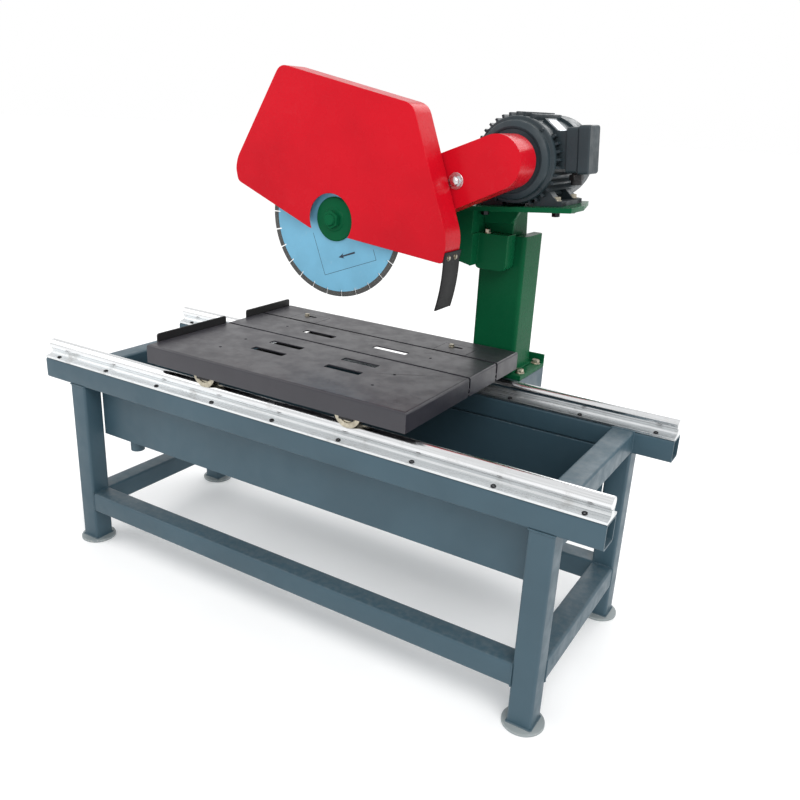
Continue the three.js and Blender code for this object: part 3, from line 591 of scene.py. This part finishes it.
def tube_for(name, axis):
    """A rounded square tube in place of a straight CAD tube."""
    lo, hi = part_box(name)
    start, end = (lo + hi) / 2, (lo + hi) / 2
    start[axis], end[axis] = lo[axis], hi[axis]
    bm = bmesh.new()
    square_tube_into(bm, start, end)
    return stand_for(finished("fine_" + name, bm, 25), name)


def leg_for(name):
    lo, hi, centre = measured(name)
    radius = (hi.x - lo.x) / 2
    bm = bmesh.new()
    square_tube_into(bm, Vector((centre.x, centre.y, FOOT)), Vector((centre.x, centre.y, hi.z)))
    layer = bm.faces.layers.float.new("wear")
    tube_faces = set(bm.faces)
    rim = [(0, 0), (radius - 1.2 * MM, 0), (radius, 1.2 * MM), (radius, FOOT - 1.6 * MM),
           (radius - 0.6 * MM, FOOT - 0.4 * MM), (radius - 1.8 * MM, FOOT), (0, FOOT)]
    lathe_into(bm, rim, Matrix.Translation((centre.x, centre.y, 0)), 64)
    for face in bm.faces:
        at_edge = (face.calc_center_median().xy - centre.xy).length > radius - 3 * MM
        if face not in tube_faces and at_edge:
            face[layer] = FOOT_WEAR
    half = TUBE / 2
    bead_into(bm, square_path((centre.x, centre.y, FOOT + 1 * MM), half, half, 2), 3.2 * MM, True)
    return stand_for(finished("fine_" + name, bm, 25), name)


def build_frame():
    for row in ("front", "rear"):
        tube_for("rail_beam_" + row, 0)
        tube_for("stretcher_" + row, 0)
    for side in ("left", "right"):
        tube_for("cross_beam_" + side, 1)
        tube_for("stretcher_" + side, 1)
    for row in ("front", "rear"):
        for side in ("left", "right"):
            leg_for(f"leg_{row}_{side}")
    refined("water_tray", 1.0 * MM)
    refined("column_support", 1.4 * MM)
    frame_welds()


def frame_welds():
    bm = bmesh.new()
    half = TUBE / 2 - 0.6 * MM

    def weld(centre, axis, *ends):
        for end in ends:
            centre[axis] = end
            bead_into(bm, square_path(centre, half, half, axis), 2.6 * MM, True)

    for row in ("front", "rear"):
        lo, hi, centre = measured("stretcher_" + row)
        weld(centre, 0, lo.x, hi.x)
        for side in ("left", "right"):
            leg = f"leg_{row}_{side}"
            weld(middle(leg), 2, high(leg).z)
    for name in ("stretcher_left", "stretcher_right", "cross_beam_left", "cross_beam_right"):
        lo, hi, centre = measured(name)
        weld(centre, 1, lo.y, hi.y)
    put(finished("frame_welds", bm, 60), "frame", "frame_paint")


# ------- rails

SCREW_INSET = 9 * MM                 # from the edge of a rail support's wing
WING = 5.6 * MM                      # thickness of the wing


def rail_screw(screws, washers, seat, side):
    up = axis_frame(seat, (0, side * 0.12, 1))
    socket_head_into(screws, up, 6.2 * MM, 4.2 * MM)
    inner, outer = 6.4 * MM, 7.6 * MM
    ring = [(inner, 0), (outer, 0), (outer, 0.8 * MM), (inner, 1 * MM), (inner, 0)]
    lathe_into(washers, ring, up, 24)


def build_rails():
    screws = bmesh.new()
    washers = bmesh.new()
    for row in ("front", "rear"):
        support = "rail_support_" + row
        refined(support, 0.5 * MM, 2, 20)
        lo, hi, centre = measured("rail_shaft_" + row)
        profile = chamfered_rod((hi.z - lo.z) / 2, hi.x - lo.x, 1.5 * MM)
        shaft = lathe("fine_rail_shaft_" + row, profile, Vector((lo.x, centre.y, centre.z)), (1, 0, 0), 72)
        stand_for(shaft, "rail_shaft_" + row)
        half_width = (high(support).y - low(support).y) / 2
        count = int((hi.x - lo.x) / RAIL_PITCH) + 1
        for i in range(count):
            x = (i - (count - 1) / 2) * RAIL_PITCH
            for side in (-1, 1):
                y = centre.y + side * (half_width - SCREW_INSET)
                rail_screw(screws, washers, Vector((x, y, low(support).z + WING)), side)
    put(finished("rail_screws", screws), "frame", "zinc_steel", BLACK_OXIDE)
    put(finished("rail_screw_washers", washers), "frame", "zinc_steel", BLACK_OXIDE)


# ------- column

def build_column():
    refined("column", 1.2 * MM, 3)
    refined("column_base_plate", 1.5 * MM, 3)
    column_welds()
    base_plate_bolts()
    lo, hi, centre = measured("pivot_pin")
    profile = chamfered_rod((hi.x - lo.x) / 2, hi.y - lo.y, 2 * MM)
    stand_for(lathe("fine_pivot_pin", profile, Vector((centre.x, hi.y, centre.z))), "pivot_pin")


def column_welds():
    lo, hi, centre = measured("column")
    plate_low, plate_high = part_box("column_base_plate")
    bm = bmesh.new()
    half_x, half_y = (hi.x - lo.x) / 2 - 2 * MM, (hi.y - lo.y) / 2 - 2 * MM
    bead_into(bm, square_path((centre.x, centre.y, lo.z + 2 * MM), half_x, half_y, 2), 4.5 * MM, True)
    inset = 3 * MM
    behind = hi.y + 36 * MM
    ends = [(x, behind, lo.z + 1 * MM) for x in (plate_low.x + inset, plate_high.x - inset)]
    bead_into(bm, ends, 3.5 * MM)
    put(finished("column_welds", bm, 60), "frame", "green_paint")


def base_plate_bolts():
    plate_low, plate_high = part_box("column_base_plate")
    inset = 16 * MM
    seat = plate_high.z - 24 * MM    # the plate's flat, below its upturned edge
    bolts = bmesh.new()
    for x in (plate_low.x + inset, plate_high.x - inset):
        for y in (low("column").y + 24 * MM, high("column").y + 18 * MM):
            hex_head_into(bolts, axis_frame((x, y, seat), (0, 0, 1)), 19 * MM, 9 * MM, 14 * MM)
    put(finished("base_plate_bolts", bolts), "frame", "zinc_steel")


# ------- rolling table

def build_table():
    for name in ("table_panel_front", "table_panel_middle", "table_panel_rear"):
        refined(name, 0.9 * MM, 2, 40)
    for name in ("inset_plate_left", "inset_plate_right"):
        refined(name, 0.4 * MM)
    for name in ("fence_front", "fence_rear"):
        refined(name, 0.7 * MM)
    for name in ("cross_member_left", "cross_member_right"):
        refined(name, 0.8 * MM)
    skirt_welds()
    for side in ("left", "right"):
        slot_bolt("slot_bolt_" + side)


def skirt_welds():
    """Short beads that tie the panels' skirts together, across each slit."""
    table_low, table_high = low("table_panel_front"), high("table_panel_rear")
    inset = 2.2 * MM
    reach = 6 * MM
    bm = bmesh.new()
    for before_slit in ("table_panel_front", "table_panel_middle"):
        y = high(before_slit).y + 4 * MM
        for x in (table_low.x + inset, table_high.x - inset):
            for z in (table_high.z - 31 * MM, table_high.z - 43 * MM):
                bead_into(bm, [(x, y - reach, z), (x, y + reach, z)], 2.1 * MM)
    put(finished("skirt_welds", bm, 60), "cart", "table_paint")


def slot_bolt(name):
    lo, centre = low(name), middle(name)
    sheet_top = high("table_panel_rear").z
    bm = bmesh.new()
    up = axis_frame((centre.x, centre.y, sheet_top + 0.3 * MM), (0, 0, 1))
    hex_head_into(bm, up, 13 * MM, 4.6 * MM, 8.2 * MM)
    down = axis_frame((centre.x, centre.y, sheet_top - 4.3 * MM), (0, 0, -1))
    hex_head_into(bm, down, 16 * MM, 8 * MM)
    shank, top = 5 * MM, sheet_top + 0.5 * MM
    profile = [(0, lo.z), (shank * 0.8, lo.z), (shank, lo.z + 1 * MM), (shank, top), (0, top)]
    lathe_into(bm, profile, Matrix.Translation((centre.x, centre.y, 0)), 24)
    stand_for(finished("fine_" + name, bm), name)


def build_rollers():
    for side in ("left", "right"):
        for row in ("front", "rear"):
            roller(f"roller_{row}_{side}")


def roller(name):
    """A wheel with a round groove for the rail's shaft, and a bearing in a shallow recess."""
    lo, hi, centre = measured(name)
    width, flange = hi.y - lo.y, (hi.z - lo.z) / 2
    bore, groove, edge = 8.1 * MM, 27 * MM, 2.4 * MM
    half = width / 2
    mouth = half - edge
    sag = flange - groove
    arc = (mouth ** 2 + sag ** 2) / (2 * sag)
    face = [(bore, 1 * MM)] + in_mm([(17, 1), (18, 2.5), (23, 2.5), (24, 0)])
    face += [(flange - 1 * MM, 0), (flange, 0.8 * MM), (flange, edge)]
    other_face = [(radius, width - height) for radius, height in reversed(face)]
    steps = 14
    across = [-mouth + 2 * mouth * i / steps for i in range(1, steps)]
    hollow = [(groove + arc - math.sqrt(arc ** 2 - offset ** 2), half + offset) for offset in across]
    profile = face + hollow + other_face + face[:1]
    stand_for(lathe("fine_" + name, profile, Vector((centre.x, hi.y, centre.z))), name)


# ------- blade

# local X and Y lie in the world's X and Z, and local Z points to the front
FACE = Matrix(((1, 0, 0), (0, 0, 1), (0, -1, 0))).transposed().to_4x4()


def facing(x, y, z):
    return Matrix.Translation((x, y, z)) @ FACE


BLADE_RADIUS = 200 * MM
SEGMENTS = 26                        # diamond segments on the blade
PITCH = 2 * math.pi / SEGMENTS
GULLET = 3.4 * MM                    # gap between two segments
KEYHOLE = 1.5 * MM                   # radius at the foot of a gullet
BORE = 15 * MM
INK_DEPTH = 0.1 * MM


def build_blade():
    lo, hi, hub = measured("blade_core")
    core = (hi.x - lo.x) / 2
    gap = GULLET / 2 / core
    outline = []
    for i in range(SEGMENTS):
        outline += arc_points(core, i * PITCH + gap, (i + 1) * PITCH - gap, 6)
        outline += gullet_foot(core - 4 * MM, (i + 1) * PITCH)
    hole = [on_circle(BORE, math.atan2(y, x)) for x, y in outline]
    bm = bmesh.new()
    prism_into(bm, outline, facing(hub.x, hi.y, hub.z), hi.y - lo.y, hole)
    stand_for(finished("fine_blade_core", bm, 25), "blade_core")
    diamond_rim(hub, core + 0.3 * MM)
    blade_marks(hub, lo.y)
    outer_flange(hub)
    refined("blade_flange_inner", 0.6 * MM)
    arbor_nut(hub)
    spindle(hub)


def gullet_foot(radius, turn):
    foot = arc_points(KEYHOLE, turn + 1.5 * math.pi, turn + 0.5 * math.pi, 6)
    centre_x, centre_y = on_circle(radius, turn)
    return [(centre_x + x, centre_y + y) for x, y in foot]


def diamond_rim(hub, inner):
    lo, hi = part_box("diamond_rim")
    gap = GULLET / 2 / BLADE_RADIUS
    bm = bmesh.new()
    for i in range(SEGMENTS):
        start, end = i * PITCH + gap, (i + 1) * PITCH - gap
        block = arc_points(BLADE_RADIUS, start, end, 6) + arc_points(inner, end, start, 6)
        prism_into(bm, block, facing(hub.x, hi.y, hub.z), hi.y - lo.y)
    soften(bm, 0.35 * MM, 1, 50)
    stand_for(finished("fine_diamond_rim", bm, 30), "diamond_rim")


def blade_marks(hub, face_y):
    """A plain arrow for the direction of turning, inside a thin ruled frame."""
    turn = math.radians(21)
    base = facing(hub.x, face_y - 0.02 * MM, hub.z) @ Matrix.Rotation(turn, 4, "Z")
    arrow = [(-23, -95), (-5, -88), (-9, -93), (31, -92.6), (31, -97.4), (-9, -97), (-5, -102)]
    left, right, high_left, high_right, bottom, line = -82, 89, -15, -101, -129, 1.1
    bars = [(left, left + line, bottom, high_left), (right - line, right, bottom, high_right),
            (left, right, bottom, bottom + line)]
    bm = bmesh.new()
    for outline in [arrow] + [[(x0, y0), (x1, y0), (x1, y1), (x0, y1)] for x0, x1, y0, y1 in bars]:
        prism_into(bm, in_mm(outline), base, INK_DEPTH)
    put(finished("blade_marks", bm), "spindle", "blade_paint", INK)


def outer_flange(hub):
    lo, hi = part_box("blade_flange_outer")
    radius, depth = (hi.x - lo.x) / 2, hi.y - lo.y
    bore = BORE + 0.3 * MM
    profile = [(bore, 0), (radius, 0), (radius, depth * 0.4), (radius - 1.5 * MM, depth * 0.55),
               (radius - 4 * MM, depth * 0.62), (33 * MM, depth * 0.66), (31 * MM, depth * 0.72),
               (29 * MM, depth * 0.97), (28 * MM, depth), (bore, depth), (bore, 0)]
    stand_for(lathe("fine_outer_flange", profile, Vector((hub.x, hi.y, hub.z))), "blade_flange_outer")


def arbor_nut(hub):
    lo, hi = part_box("arbor_nut")
    per_side = 6
    start = math.pi / 6
    corners = [Vector(point) for point in polygon((hi.x - lo.x) / math.sqrt(3), 6, start)]
    sides = zip(corners, corners[1:] + corners[:1])
    hexagon = [a.lerp(b, k / per_side) for a, b in sides for k in range(per_side)]
    hole = polygon(BORE + 0.3 * MM, len(hexagon), start)
    bm = bmesh.new()
    prism_into(bm, hexagon, facing(hub.x, hi.y, hub.z), hi.y - lo.y, hole)
    soften(bm, 0.9 * MM, 2, 50)
    stand_for(finished("fine_arbor_nut", bm), "arbor_nut")


def spindle(hub):
    lo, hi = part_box("spindle")
    radius = (hi.x - lo.x) / 2
    length = hi.y - lo.y
    threaded = length - 26 * MM
    pitch, depth = 2.5 * MM, 1.1 * MM
    profile = [(0, 0), (radius - 1 * MM, 0), (radius, 1 * MM), (radius, threaded)]
    for i in range(9):
        base = threaded + i * pitch
        profile += [(radius, base + pitch * 0.3), (radius - depth, base + pitch * 0.65)]
        profile.append((radius, base + pitch))
    profile += [(radius - 2 * MM, length), (0, length)]
    made = lathe("fine_spindle", profile, Vector((hub.x, hi.y, hub.z)), smooth=20)
    stand_for(made, "spindle", material=GREEN_PAINT)


# ------- guards

def carve(made, *cutters):
    """Cuts these closed meshes out of a piece."""
    for cutter in cutters:
        modifier = made.modifiers.new("cut", "BOOLEAN")
        modifier.object = cutter
        modifier.solver = "EXACT"
    baked(made)
    for cutter in cutters:
        bpy.data.objects.remove(cutter)


def belt_outline(high_end, low_end, high_radius, low_radius, steps=40):
    span_x, span_z = high_end.x - low_end.x, high_end.z - low_end.z
    angle = math.atan2(span_z, span_x)
    opening = math.acos((low_radius - high_radius) / math.hypot(span_x, span_z))
    upper = arc_points(high_radius, angle - opening, angle + opening, steps)
    lower = arc_points(low_radius, angle + opening, angle - opening + 2 * math.pi, steps)
    rounded = [(high_end, point) for point in upper] + [(low_end, point) for point in lower]
    return [(end.x + x, end.z + z) for end, (x, z) in rounded]


BELT_LOW = Vector((-30, 0, 1022)) * MM    # middle of the belt guard's round end at the blade
BELT_HIGH = Vector((378, 0, 1199)) * MM   # and of its round end at the motor
LOW_RADIUS = 76 * MM
HIGH_RADIUS = 64 * MM
SHEET = 2.5 * MM
HUB_HOLE = 24 * MM


def build_guards():
    refined("blade_guard", 1.3 * MM, 3, 25)
    outline = belt_outline(BELT_HIGH, BELT_LOW, HIGH_RADIUS, LOW_RADIUS)
    belt_cover(outline)
    belt_case(outline)
    nut = bmesh.new()
    front = low("belt_guard_cover").y
    dome_into(nut, axis_frame((0.279, front, 1.149), ALONG_Y), 12 * MM, 13 * MM, 20 * MM)
    put(finished("cover_cap_nut", nut), "head", "zinc_steel", BARE_STEEL)


def belt_cover(outline):
    lo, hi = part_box("belt_guard_cover")
    hub = middle("spindle")
    rays = [on_circle(HUB_HOLE, math.atan2(z - hub.z, x - hub.x)) for x, z in outline]
    bm = bmesh.new()
    prism_into(bm, outline, facing(0, hi.y, 0), hi.y - lo.y, [(hub.x + x, hub.z + z) for x, z in rays])
    soften(bm, 1.0 * MM, 3, 50)
    stand_for(finished("fine_belt_cover", bm, 25, even=True), "belt_guard_cover")


def belt_case(outline):
    """An open pan behind the cover, with a hole in its rear wall for each shaft."""
    lo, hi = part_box("belt_guard_case")
    depth = hi.y - lo.y
    bm = bmesh.new()
    prism_into(bm, outline, facing(0, hi.y, 0), depth)
    case = finished("rough_belt_case", bm, 25)
    pocket = bmesh.new()
    inside = belt_outline(BELT_HIGH, BELT_LOW, HIGH_RADIUS - SHEET, LOW_RADIUS - SHEET)
    prism_into(pocket, inside, facing(0, hi.y - SHEET, 0), depth)
    plug = [(0, 0), (HUB_HOLE, 0), (HUB_HOLE, 30 * MM), (0, 30 * MM)]
    holes = [lathe("cutter", plug, Vector((at.x, hi.y + 10 * MM, at.z)))
             for at in (middle("spindle"), middle("motor_shaft"))]
    carve(case, finished("pocket", pocket), *holes)
    bm = bmesh.new()
    bm.from_mesh(case.data)
    bpy.data.objects.remove(case)
    soften(bm, 0.8 * MM, 2, 50)
    stand_for(finished("fine_belt_case", bm, 30, even=True), "belt_guard_case")


FLAP_THICKNESS = 5 * MM


def build_flap():
    """One strip of rubber, screwed to the guard's end wall and free below it."""
    strip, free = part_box("flap_strip"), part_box("splash_flap")
    width = strip[1].y - strip[0].y
    bend, bottom = free[1].z, free[0].z
    wall = free[1].x - FLAP_THICKNESS
    lean_of_wall = (strip[1].x - FLAP_THICKNESS - wall) / (strip[1].z - bend)
    curl = free[0].x - wall
    fixed_steps, free_steps = 5, 22
    heights = [strip[1].z + (bend - strip[1].z) * i / fixed_steps for i in range(fixed_steps)]
    inner = [(wall + (z - bend) * lean_of_wall, z) for z in heights]
    hanging = [i / free_steps for i in range(free_steps + 1)]
    inner += [(wall + curl * t * t, bend + (bottom - bend) * t) for t in hanging]
    outer = [(x + FLAP_THICKNESS, z) for x, z in inner]
    bm = bmesh.new()
    prism_into(bm, inner + outer[::-1], facing(0, strip[1].y, 0), width)
    everything = [*bm.verts, *bm.edges, *bm.faces]
    bmesh.ops.bisect_plane(bm, geom=everything, plane_co=(0, strip[0].y + width / 2, 0), plane_no=(0, 1, 0))
    soften(bm, 0.8 * MM, 2, 50)
    flap = finished("rubber_flap", bm, 30)
    flap.data.materials.append(RUBBER)
    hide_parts("splash_flap", "flap_strip")
    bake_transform(flap)
    screws = bmesh.new()
    for y in (-100 * MM, -65 * MM):
        x = wall + 9 * MM * lean_of_wall + FLAP_THICKNESS - 0.1 * MM
        seat = axis_frame((x, y, bend + 10 * MM), (1, 0, 0))
        hex_head_into(screws, seat, 9 * MM, 3.2 * MM, 7 * MM)
    put(finished("flap_screws", screws), "head", "zinc_steel")


# ------- head castings and plates

def on_motor():
    """The motor's own frame: it leans about its shaft."""
    axis = middle("motor_shaft")
    return Matrix.Translation((axis.x, 0, axis.z)) @ Matrix.Rotation(-LEAN, 4, "Y")


SHAFT_HEIGHT = 112 * MM              # the motor's axis above its feet
PLATE = 12 * MM                      # thickness of the motor plate


def build_head():
    refined("motor_plate", 1.0 * MM, 2)
    refined("swing_arm", 1.6 * MM, 3)
    lock = bmesh.new()
    seat = axis_frame((0.279, high("swing_arm").y - 38 * MM, 1.006), (0, 0, 1))
    hex_head_into(lock, seat, 15 * MM, 8 * MM, 11 * MM)
    put(finished("arm_lock_bolt", lock), "head", "zinc_steel")

    frame_of_motor = on_motor()
    bolts = bmesh.new()
    nuts = bmesh.new()
    for x in (-98 * MM, 98 * MM):
        for y in foot_rows():
            above = frame_of_motor @ Matrix.Translation((x, y, -SHAFT_HEIGHT + 12.6 * MM))
            hex_head_into(bolts, above, 18 * MM, 8 * MM, 13 * MM)
            below = frame_of_motor @ Matrix.Translation((x, y, -SHAFT_HEIGHT - PLATE))
            hex_head_into(nuts, below @ Matrix.Rotation(math.pi, 4, "X"), 19 * MM, 11 * MM, 15 * MM)
    put(finished("motor_foot_bolts", bolts), "head", "zinc_steel")
    put(finished("motor_foot_nuts", nuts), "head", "zinc_steel", BLACK_OXIDE)
    plate_welds(frame_of_motor)


def foot_rows():
    front = high("motor_end_shield").y
    return (front + 30 * MM, front + 144 * MM)


def plate_welds(frame_of_motor):
    """Beads where the tongue meets the underside of the motor plate."""
    half = 25 * MM
    inset = 10.5 * MM
    near, far = low("column").y + inset, high("column").y - inset
    middle_x = middle("pivot_pin").x - 6 * MM
    ridge = []
    for x, y in ((half, near), (half, far), (-half, far), (-half, near)):
        local = frame_of_motor.inverted() @ Vector((middle_x + x, y, 1.072))
        local.z = -SHAFT_HEIGHT - PLATE
        ridge.append(frame_of_motor @ local)
    bm = bmesh.new()
    bead_into(bm, ridge, 3.4 * MM, True)
    put(finished("plate_welds", bm, 60), "head", "green_paint")


# ------- motor

FINS = 36
BODY = 114.5 * MM                    # radius over the fins
ROOT = 101 * MM                      # and between them
BODY_FLOOR = -106 * MM               # the body is flat underneath
PLATE_TURN = 48                      # of the rating plate round the axis, in degrees
LUG = [(40, -111.6), (117.8, -111.6), (117.8, -100), (104, -98), (72, -62), (58, -62), (48, -96)]
FOOT_RAIL = [(60, -111.6), (117.8, -111.6), (117.8, -101), (60, -101)]
BOX_SEAT = [(86, -23), (120.8, -23), (120.8, 67), (86, 67)]


def fin_outline():
    """Round the axis from the right-hand side: fins, with a plain stretch for the rating plate."""
    points = []
    half_pitch = math.pi / FINS
    half_root, half_tip = half_pitch * 0.42, half_pitch * 0.26
    for i in range(FINS):
        centre = 2 * math.pi * i / FINS
        if abs(math.degrees(centre) - PLATE_TURN) < 16:
            points += arc_points(ROOT, centre - half_pitch, centre + half_pitch * 0.6, 3)
            continue
        points.append(on_circle(ROOT, centre - half_root))
        points += arc_points(BODY, centre - half_tip, centre + half_tip, 2)
        points.append(on_circle(ROOT, centre + half_root))
    return [(x, max(y, BODY_FLOOR)) for x, y in points]


def build_motor():
    frame_of_motor = on_motor()
    axis = middle("motor_shaft")
    front = high("motor_end_shield").y + 0.3 * MM
    rear = low("fan_cover").y - 0.3 * MM
    motor_body(frame_of_motor, front, rear)
    end_shield(frame_of_motor, axis)
    fan_cowl(axis)
    terminal_box(frame_of_motor)
    name_plate(frame_of_motor, (front + rear) / 2)
    frame["nodes"]["cooling_fan"].data.materials[0] = BLACK_PAINT


def motor_body(frame_of_motor, front, rear):
    """Finned barrel, four foot lugs on two rails, and the seat of the terminal box."""
    bm = bmesh.new()

    def add(outline, start, depth):
        prism_into(bm, outline, frame_of_motor @ Matrix.Translation((0, start, 0)) @ FACE, depth)

    first, last = foot_rows()
    add(fin_outline(), rear, rear - front)
    for side in (-1, 1):
        for y in (first, last):
            add(in_mm([(side * x, z) for x, z in LUG]), y + 16 * MM, 32 * MM)
        add(in_mm([(side * x, z) for x, z in FOOT_RAIL]), last + 15.5 * MM, last - first + 31 * MM)
    seat_rear = high("terminal_box").y - 4 * MM
    add(in_mm(BOX_SEAT), seat_rear, seat_rear - low("terminal_box").y - 4 * MM)
    soften(bm, 0.7 * MM, 2, 48)
    stand_for(finished("fine_motor_body", bm, 30), "motor_body")


def end_shield(frame_of_motor, axis):
    lo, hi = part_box("motor_end_shield")
    depth = hi.y - lo.y
    outside = in_mm([(BORE / MM, 0), (105, 0), (105.8, 1.5), (105.2, 6), (103, 9.4), (96, 11), (94.8, 12.5),
                     (94.8, 21), (93, 25), (89, 28)])
    from_face = in_mm([(80, 0.4), (76, 1.2), (74, 3), (52, 3.5), (50, 1.5), (40.5, 1), (30, 1), (29, 2.4),
                       (BORE / MM, 2.5)])
    profile = outside + [(radius, depth - below) for radius, below in from_face] + outside[:1]
    shield = lathe("fine_end_shield", profile, Vector((axis.x, hi.y, axis.z)), smooth=28, segments=96)
    stand_for(shield, "motor_end_shield")
    bolts = bmesh.new()
    for i in range(4):
        x, z = on_circle(99.5 * MM, math.pi / 4 + math.pi / 2 * i)
        seat = frame_of_motor @ Matrix.Translation((x, hi.y - 10 * MM, z)) @ FACE
        hex_head_into(bolts, seat, 8 * MM, 4 * MM)
    put(finished("end_shield_bolts", bolts), "head", "motor_paint")


def flat_ring(inner, outer, start, end):
    """The closed profile of a ring with a rectangular section."""
    return [(inner, start), (outer, start), (outer, end), (inner, end), (inner, start)]


def fan_cowl(axis):
    """A pressed cover with a grille of rings and spokes, and a screw near each corner of its rim."""
    lo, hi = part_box("fan_cover")
    length = hi.y - lo.y
    outer, sheet, boss = 108.4 * MM, 2.2 * MM, 16 * MM
    to_world = facing(axis.x, hi.y, axis.z)
    bm = bmesh.new()
    wall = in_mm([(80, 0), (94, 0.4), (101, 3), (105.5, 9)])
    wall += [(outer, 19 * MM), (outer, length), (outer - sheet, length), (outer - sheet, 19 * MM)]
    wall += in_mm([(103.4, 10), (99.5, 5), (93.5, 2.8), (80, 2.4), (80, 0)])
    lathe_into(bm, wall, to_world, 96)
    for i in range(7):
        inner = (20 + 8.6 * i) * MM
        lathe_into(bm, flat_ring(inner, inner + 3.4 * MM, 0, 2.4 * MM), to_world, 72)
    spoke = in_mm([(14, -2), (81, -2), (81, 2), (14, 2)])
    for i in range(8):
        turn = Matrix.Rotation(math.pi / 4 * i, 4, "Z")
        prism_into(bm, spoke, to_world @ turn @ Matrix.Translation((0, 0, 0.5 * MM)), 3 * MM)
    lathe_into(bm, [(0, 0.2 * MM), (boss, 0.2 * MM), (boss, 3.6 * MM), (0, 3.6 * MM)], to_world, 48)
    lathe_into(bm, flat_ring(boss, outer - sheet, length, length - 11 * MM), to_world, 72)
    soften(bm, 0.5 * MM, 2, 60)
    stand_for(finished("fine_fan_cowl", bm, 30), "fan_cover")
    screws = bmesh.new()
    for degrees in (35, 145, 215, 325):
        turn = math.radians(degrees)
        out = Vector((math.cos(turn), 0, math.sin(turn)))
        seat = Vector((axis.x, lo.y + 8 * MM, axis.z)) + out * (outer - 0.3 * MM)
        socket_head_into(screws, axis_frame(seat, out), 4.5 * MM, 2.6 * MM)
    put(finished("cowl_screws", screws), "head", "zinc_steel")


def terminal_box(frame_of_motor):
    refined("terminal_box", 2.0 * MM, 3)
    refined("terminal_lid", 4.0 * MM, 4)
    refined("cable_gland", 0.8 * MM)
    inverse = frame_of_motor.inverted()
    corners = [inverse @ v.co for v in frame["nodes"]["terminal_lid"].data.vertices]
    lo = Vector([min(c[k] for c in corners) for k in range(3)])
    hi = Vector([max(c[k] for c in corners) for k in range(3)])
    screws = bmesh.new()
    inset = 13 * MM
    for y in (lo.y + inset, hi.y - inset):
        for z in (lo.z + inset, hi.z - inset):
            seat = frame_of_motor @ axis_frame((hi.x - 2.6 * MM, y, z), (1, 0, 0))
            socket_head_into(screws, seat, 4.6 * MM, 2.5 * MM)
    put(finished("lid_screws", screws), "head", "zinc_steel")


def name_plate(frame_of_motor, middle_y):
    """A blank rating plate with four rivets, on a flat pad between the fins."""
    out = Matrix.Rotation(math.radians(90 - PLATE_TURN), 4, "Y")
    base = frame_of_motor @ out @ Matrix.Translation((0, middle_y - 8 * MM, 98 * MM))
    pad_depth, plate_depth = 9 * MM, 0.8 * MM
    pad = bmesh.new()
    prism_into(pad, rounded_rectangle(54 * MM, 74 * MM, 4 * MM), base, pad_depth)
    soften(pad, 1.2 * MM, 2, 50)
    put(finished("plate_pad", pad), "head", "motor_paint")
    plate = bmesh.new()
    top = base @ Matrix.Translation((0, 0, pad_depth))
    prism_into(plate, rounded_rectangle(42 * MM, 56 * MM, 3 * MM), top, plate_depth)
    rivet = in_mm([(0, 0), (2, 0), (1.6, 0.8), (0.8, 1.2), (0, 1.3)])
    for x in (-17 * MM, 17 * MM):
        for y in (-24 * MM, 24 * MM):
            lathe_into(plate, rivet, top @ Matrix.Translation((x, y, plate_depth)), 16)
    put(finished("blank_rating_plate", plate), "head", "motor_paint", PLATE_ALLOY)


# ------- camera, light, floor

YAW, PITCH_DOWN, ROLL = (math.radians(degrees) for degrees in (30.49, 20.06, 2.99))
CAMERA_AT = (1.20467, -1.81507, 1.31593)
LENS = 36.45
AIM = Vector((0, 0, 0.7))            # where the lamps point
LAMPS = [("key", (2.4, -2.2, 3.6), 2.4, 70), ("fill", (-3.0, -1.6, 2.4), 2.6, 26),
         ("back", (0.4, 3.2, 3.0), 2.2, 34)]


def build_camera():
    data = bpy.data.cameras.new("camera")
    camera = bpy.data.objects.new("camera", data)
    scene.collection.objects.link(camera)
    scene.camera = camera
    ahead = math.cos(PITCH_DOWN)
    forward = Vector((-math.sin(YAW) * ahead, math.cos(YAW) * ahead, -math.sin(PITCH_DOWN)))
    level = Vector((math.cos(YAW), math.sin(YAW), 0))
    upright = level.cross(forward)
    right = level * math.cos(ROLL) + upright * math.sin(ROLL)
    up = upright * math.cos(ROLL) - level * math.sin(ROLL)
    turn = Matrix((right, up, -forward)).transposed().to_4x4()
    camera.matrix_world = Matrix.Translation(CAMERA_AT) @ turn
    data.sensor_width = 36
    data.lens = LENS
    data.clip_end = 60


def build_floor():
    bm = bmesh.new()
    bmesh.ops.create_circle(bm, cap_ends=True, segments=96, radius=40)
    floor = finished("floor", bm)
    floor.location.z = -0.2 * MM
    material, tree, shader = new_material("pale_floor")
    patches = span(tree, cloud(tree, place(tree), 3, 4), 0.3, 0.7)
    tone = blend_colour(tree, patches, (0.9, 0.9, 0.9), (0.93, 0.93, 0.93))
    feed(tree, shader, Base_Color=tone, Roughness=0.8, Emission_Color=(1, 1, 1, 1), Emission_Strength=0.12)
    floor.data.materials.append(material)


def build_lights():
    world = bpy.data.worlds.new("studio")
    scene.world = world
    world.use_nodes = True
    feed(world.node_tree, world.node_tree.nodes["Background"], Color=(1, 1, 1, 1), Strength=1.0)
    for name, position, size, power in LAMPS:
        light = bpy.data.lights.new(name, "AREA")
        light.energy = power
        light.size = size
        lamp = bpy.data.objects.new(name, light)
        lamp.location = position
        lamp.rotation_euler = (AIM - Vector(position)).to_track_quat("-Z", "Y").to_euler()
        scene.collection.objects.link(lamp)


# ------- build

for cad_name, cad_object in frame["nodes"].items():
    cad_object.data.materials.clear()
    cad_object.data.materials.append(SLOT_FINISH[slot_of[cad_name]])

build_camera()
build_floor()
build_lights()
build_frame()
build_rails()
build_column()
build_table()
build_rollers()
build_blade()
build_guards()
build_flap()
build_head()
build_motor()
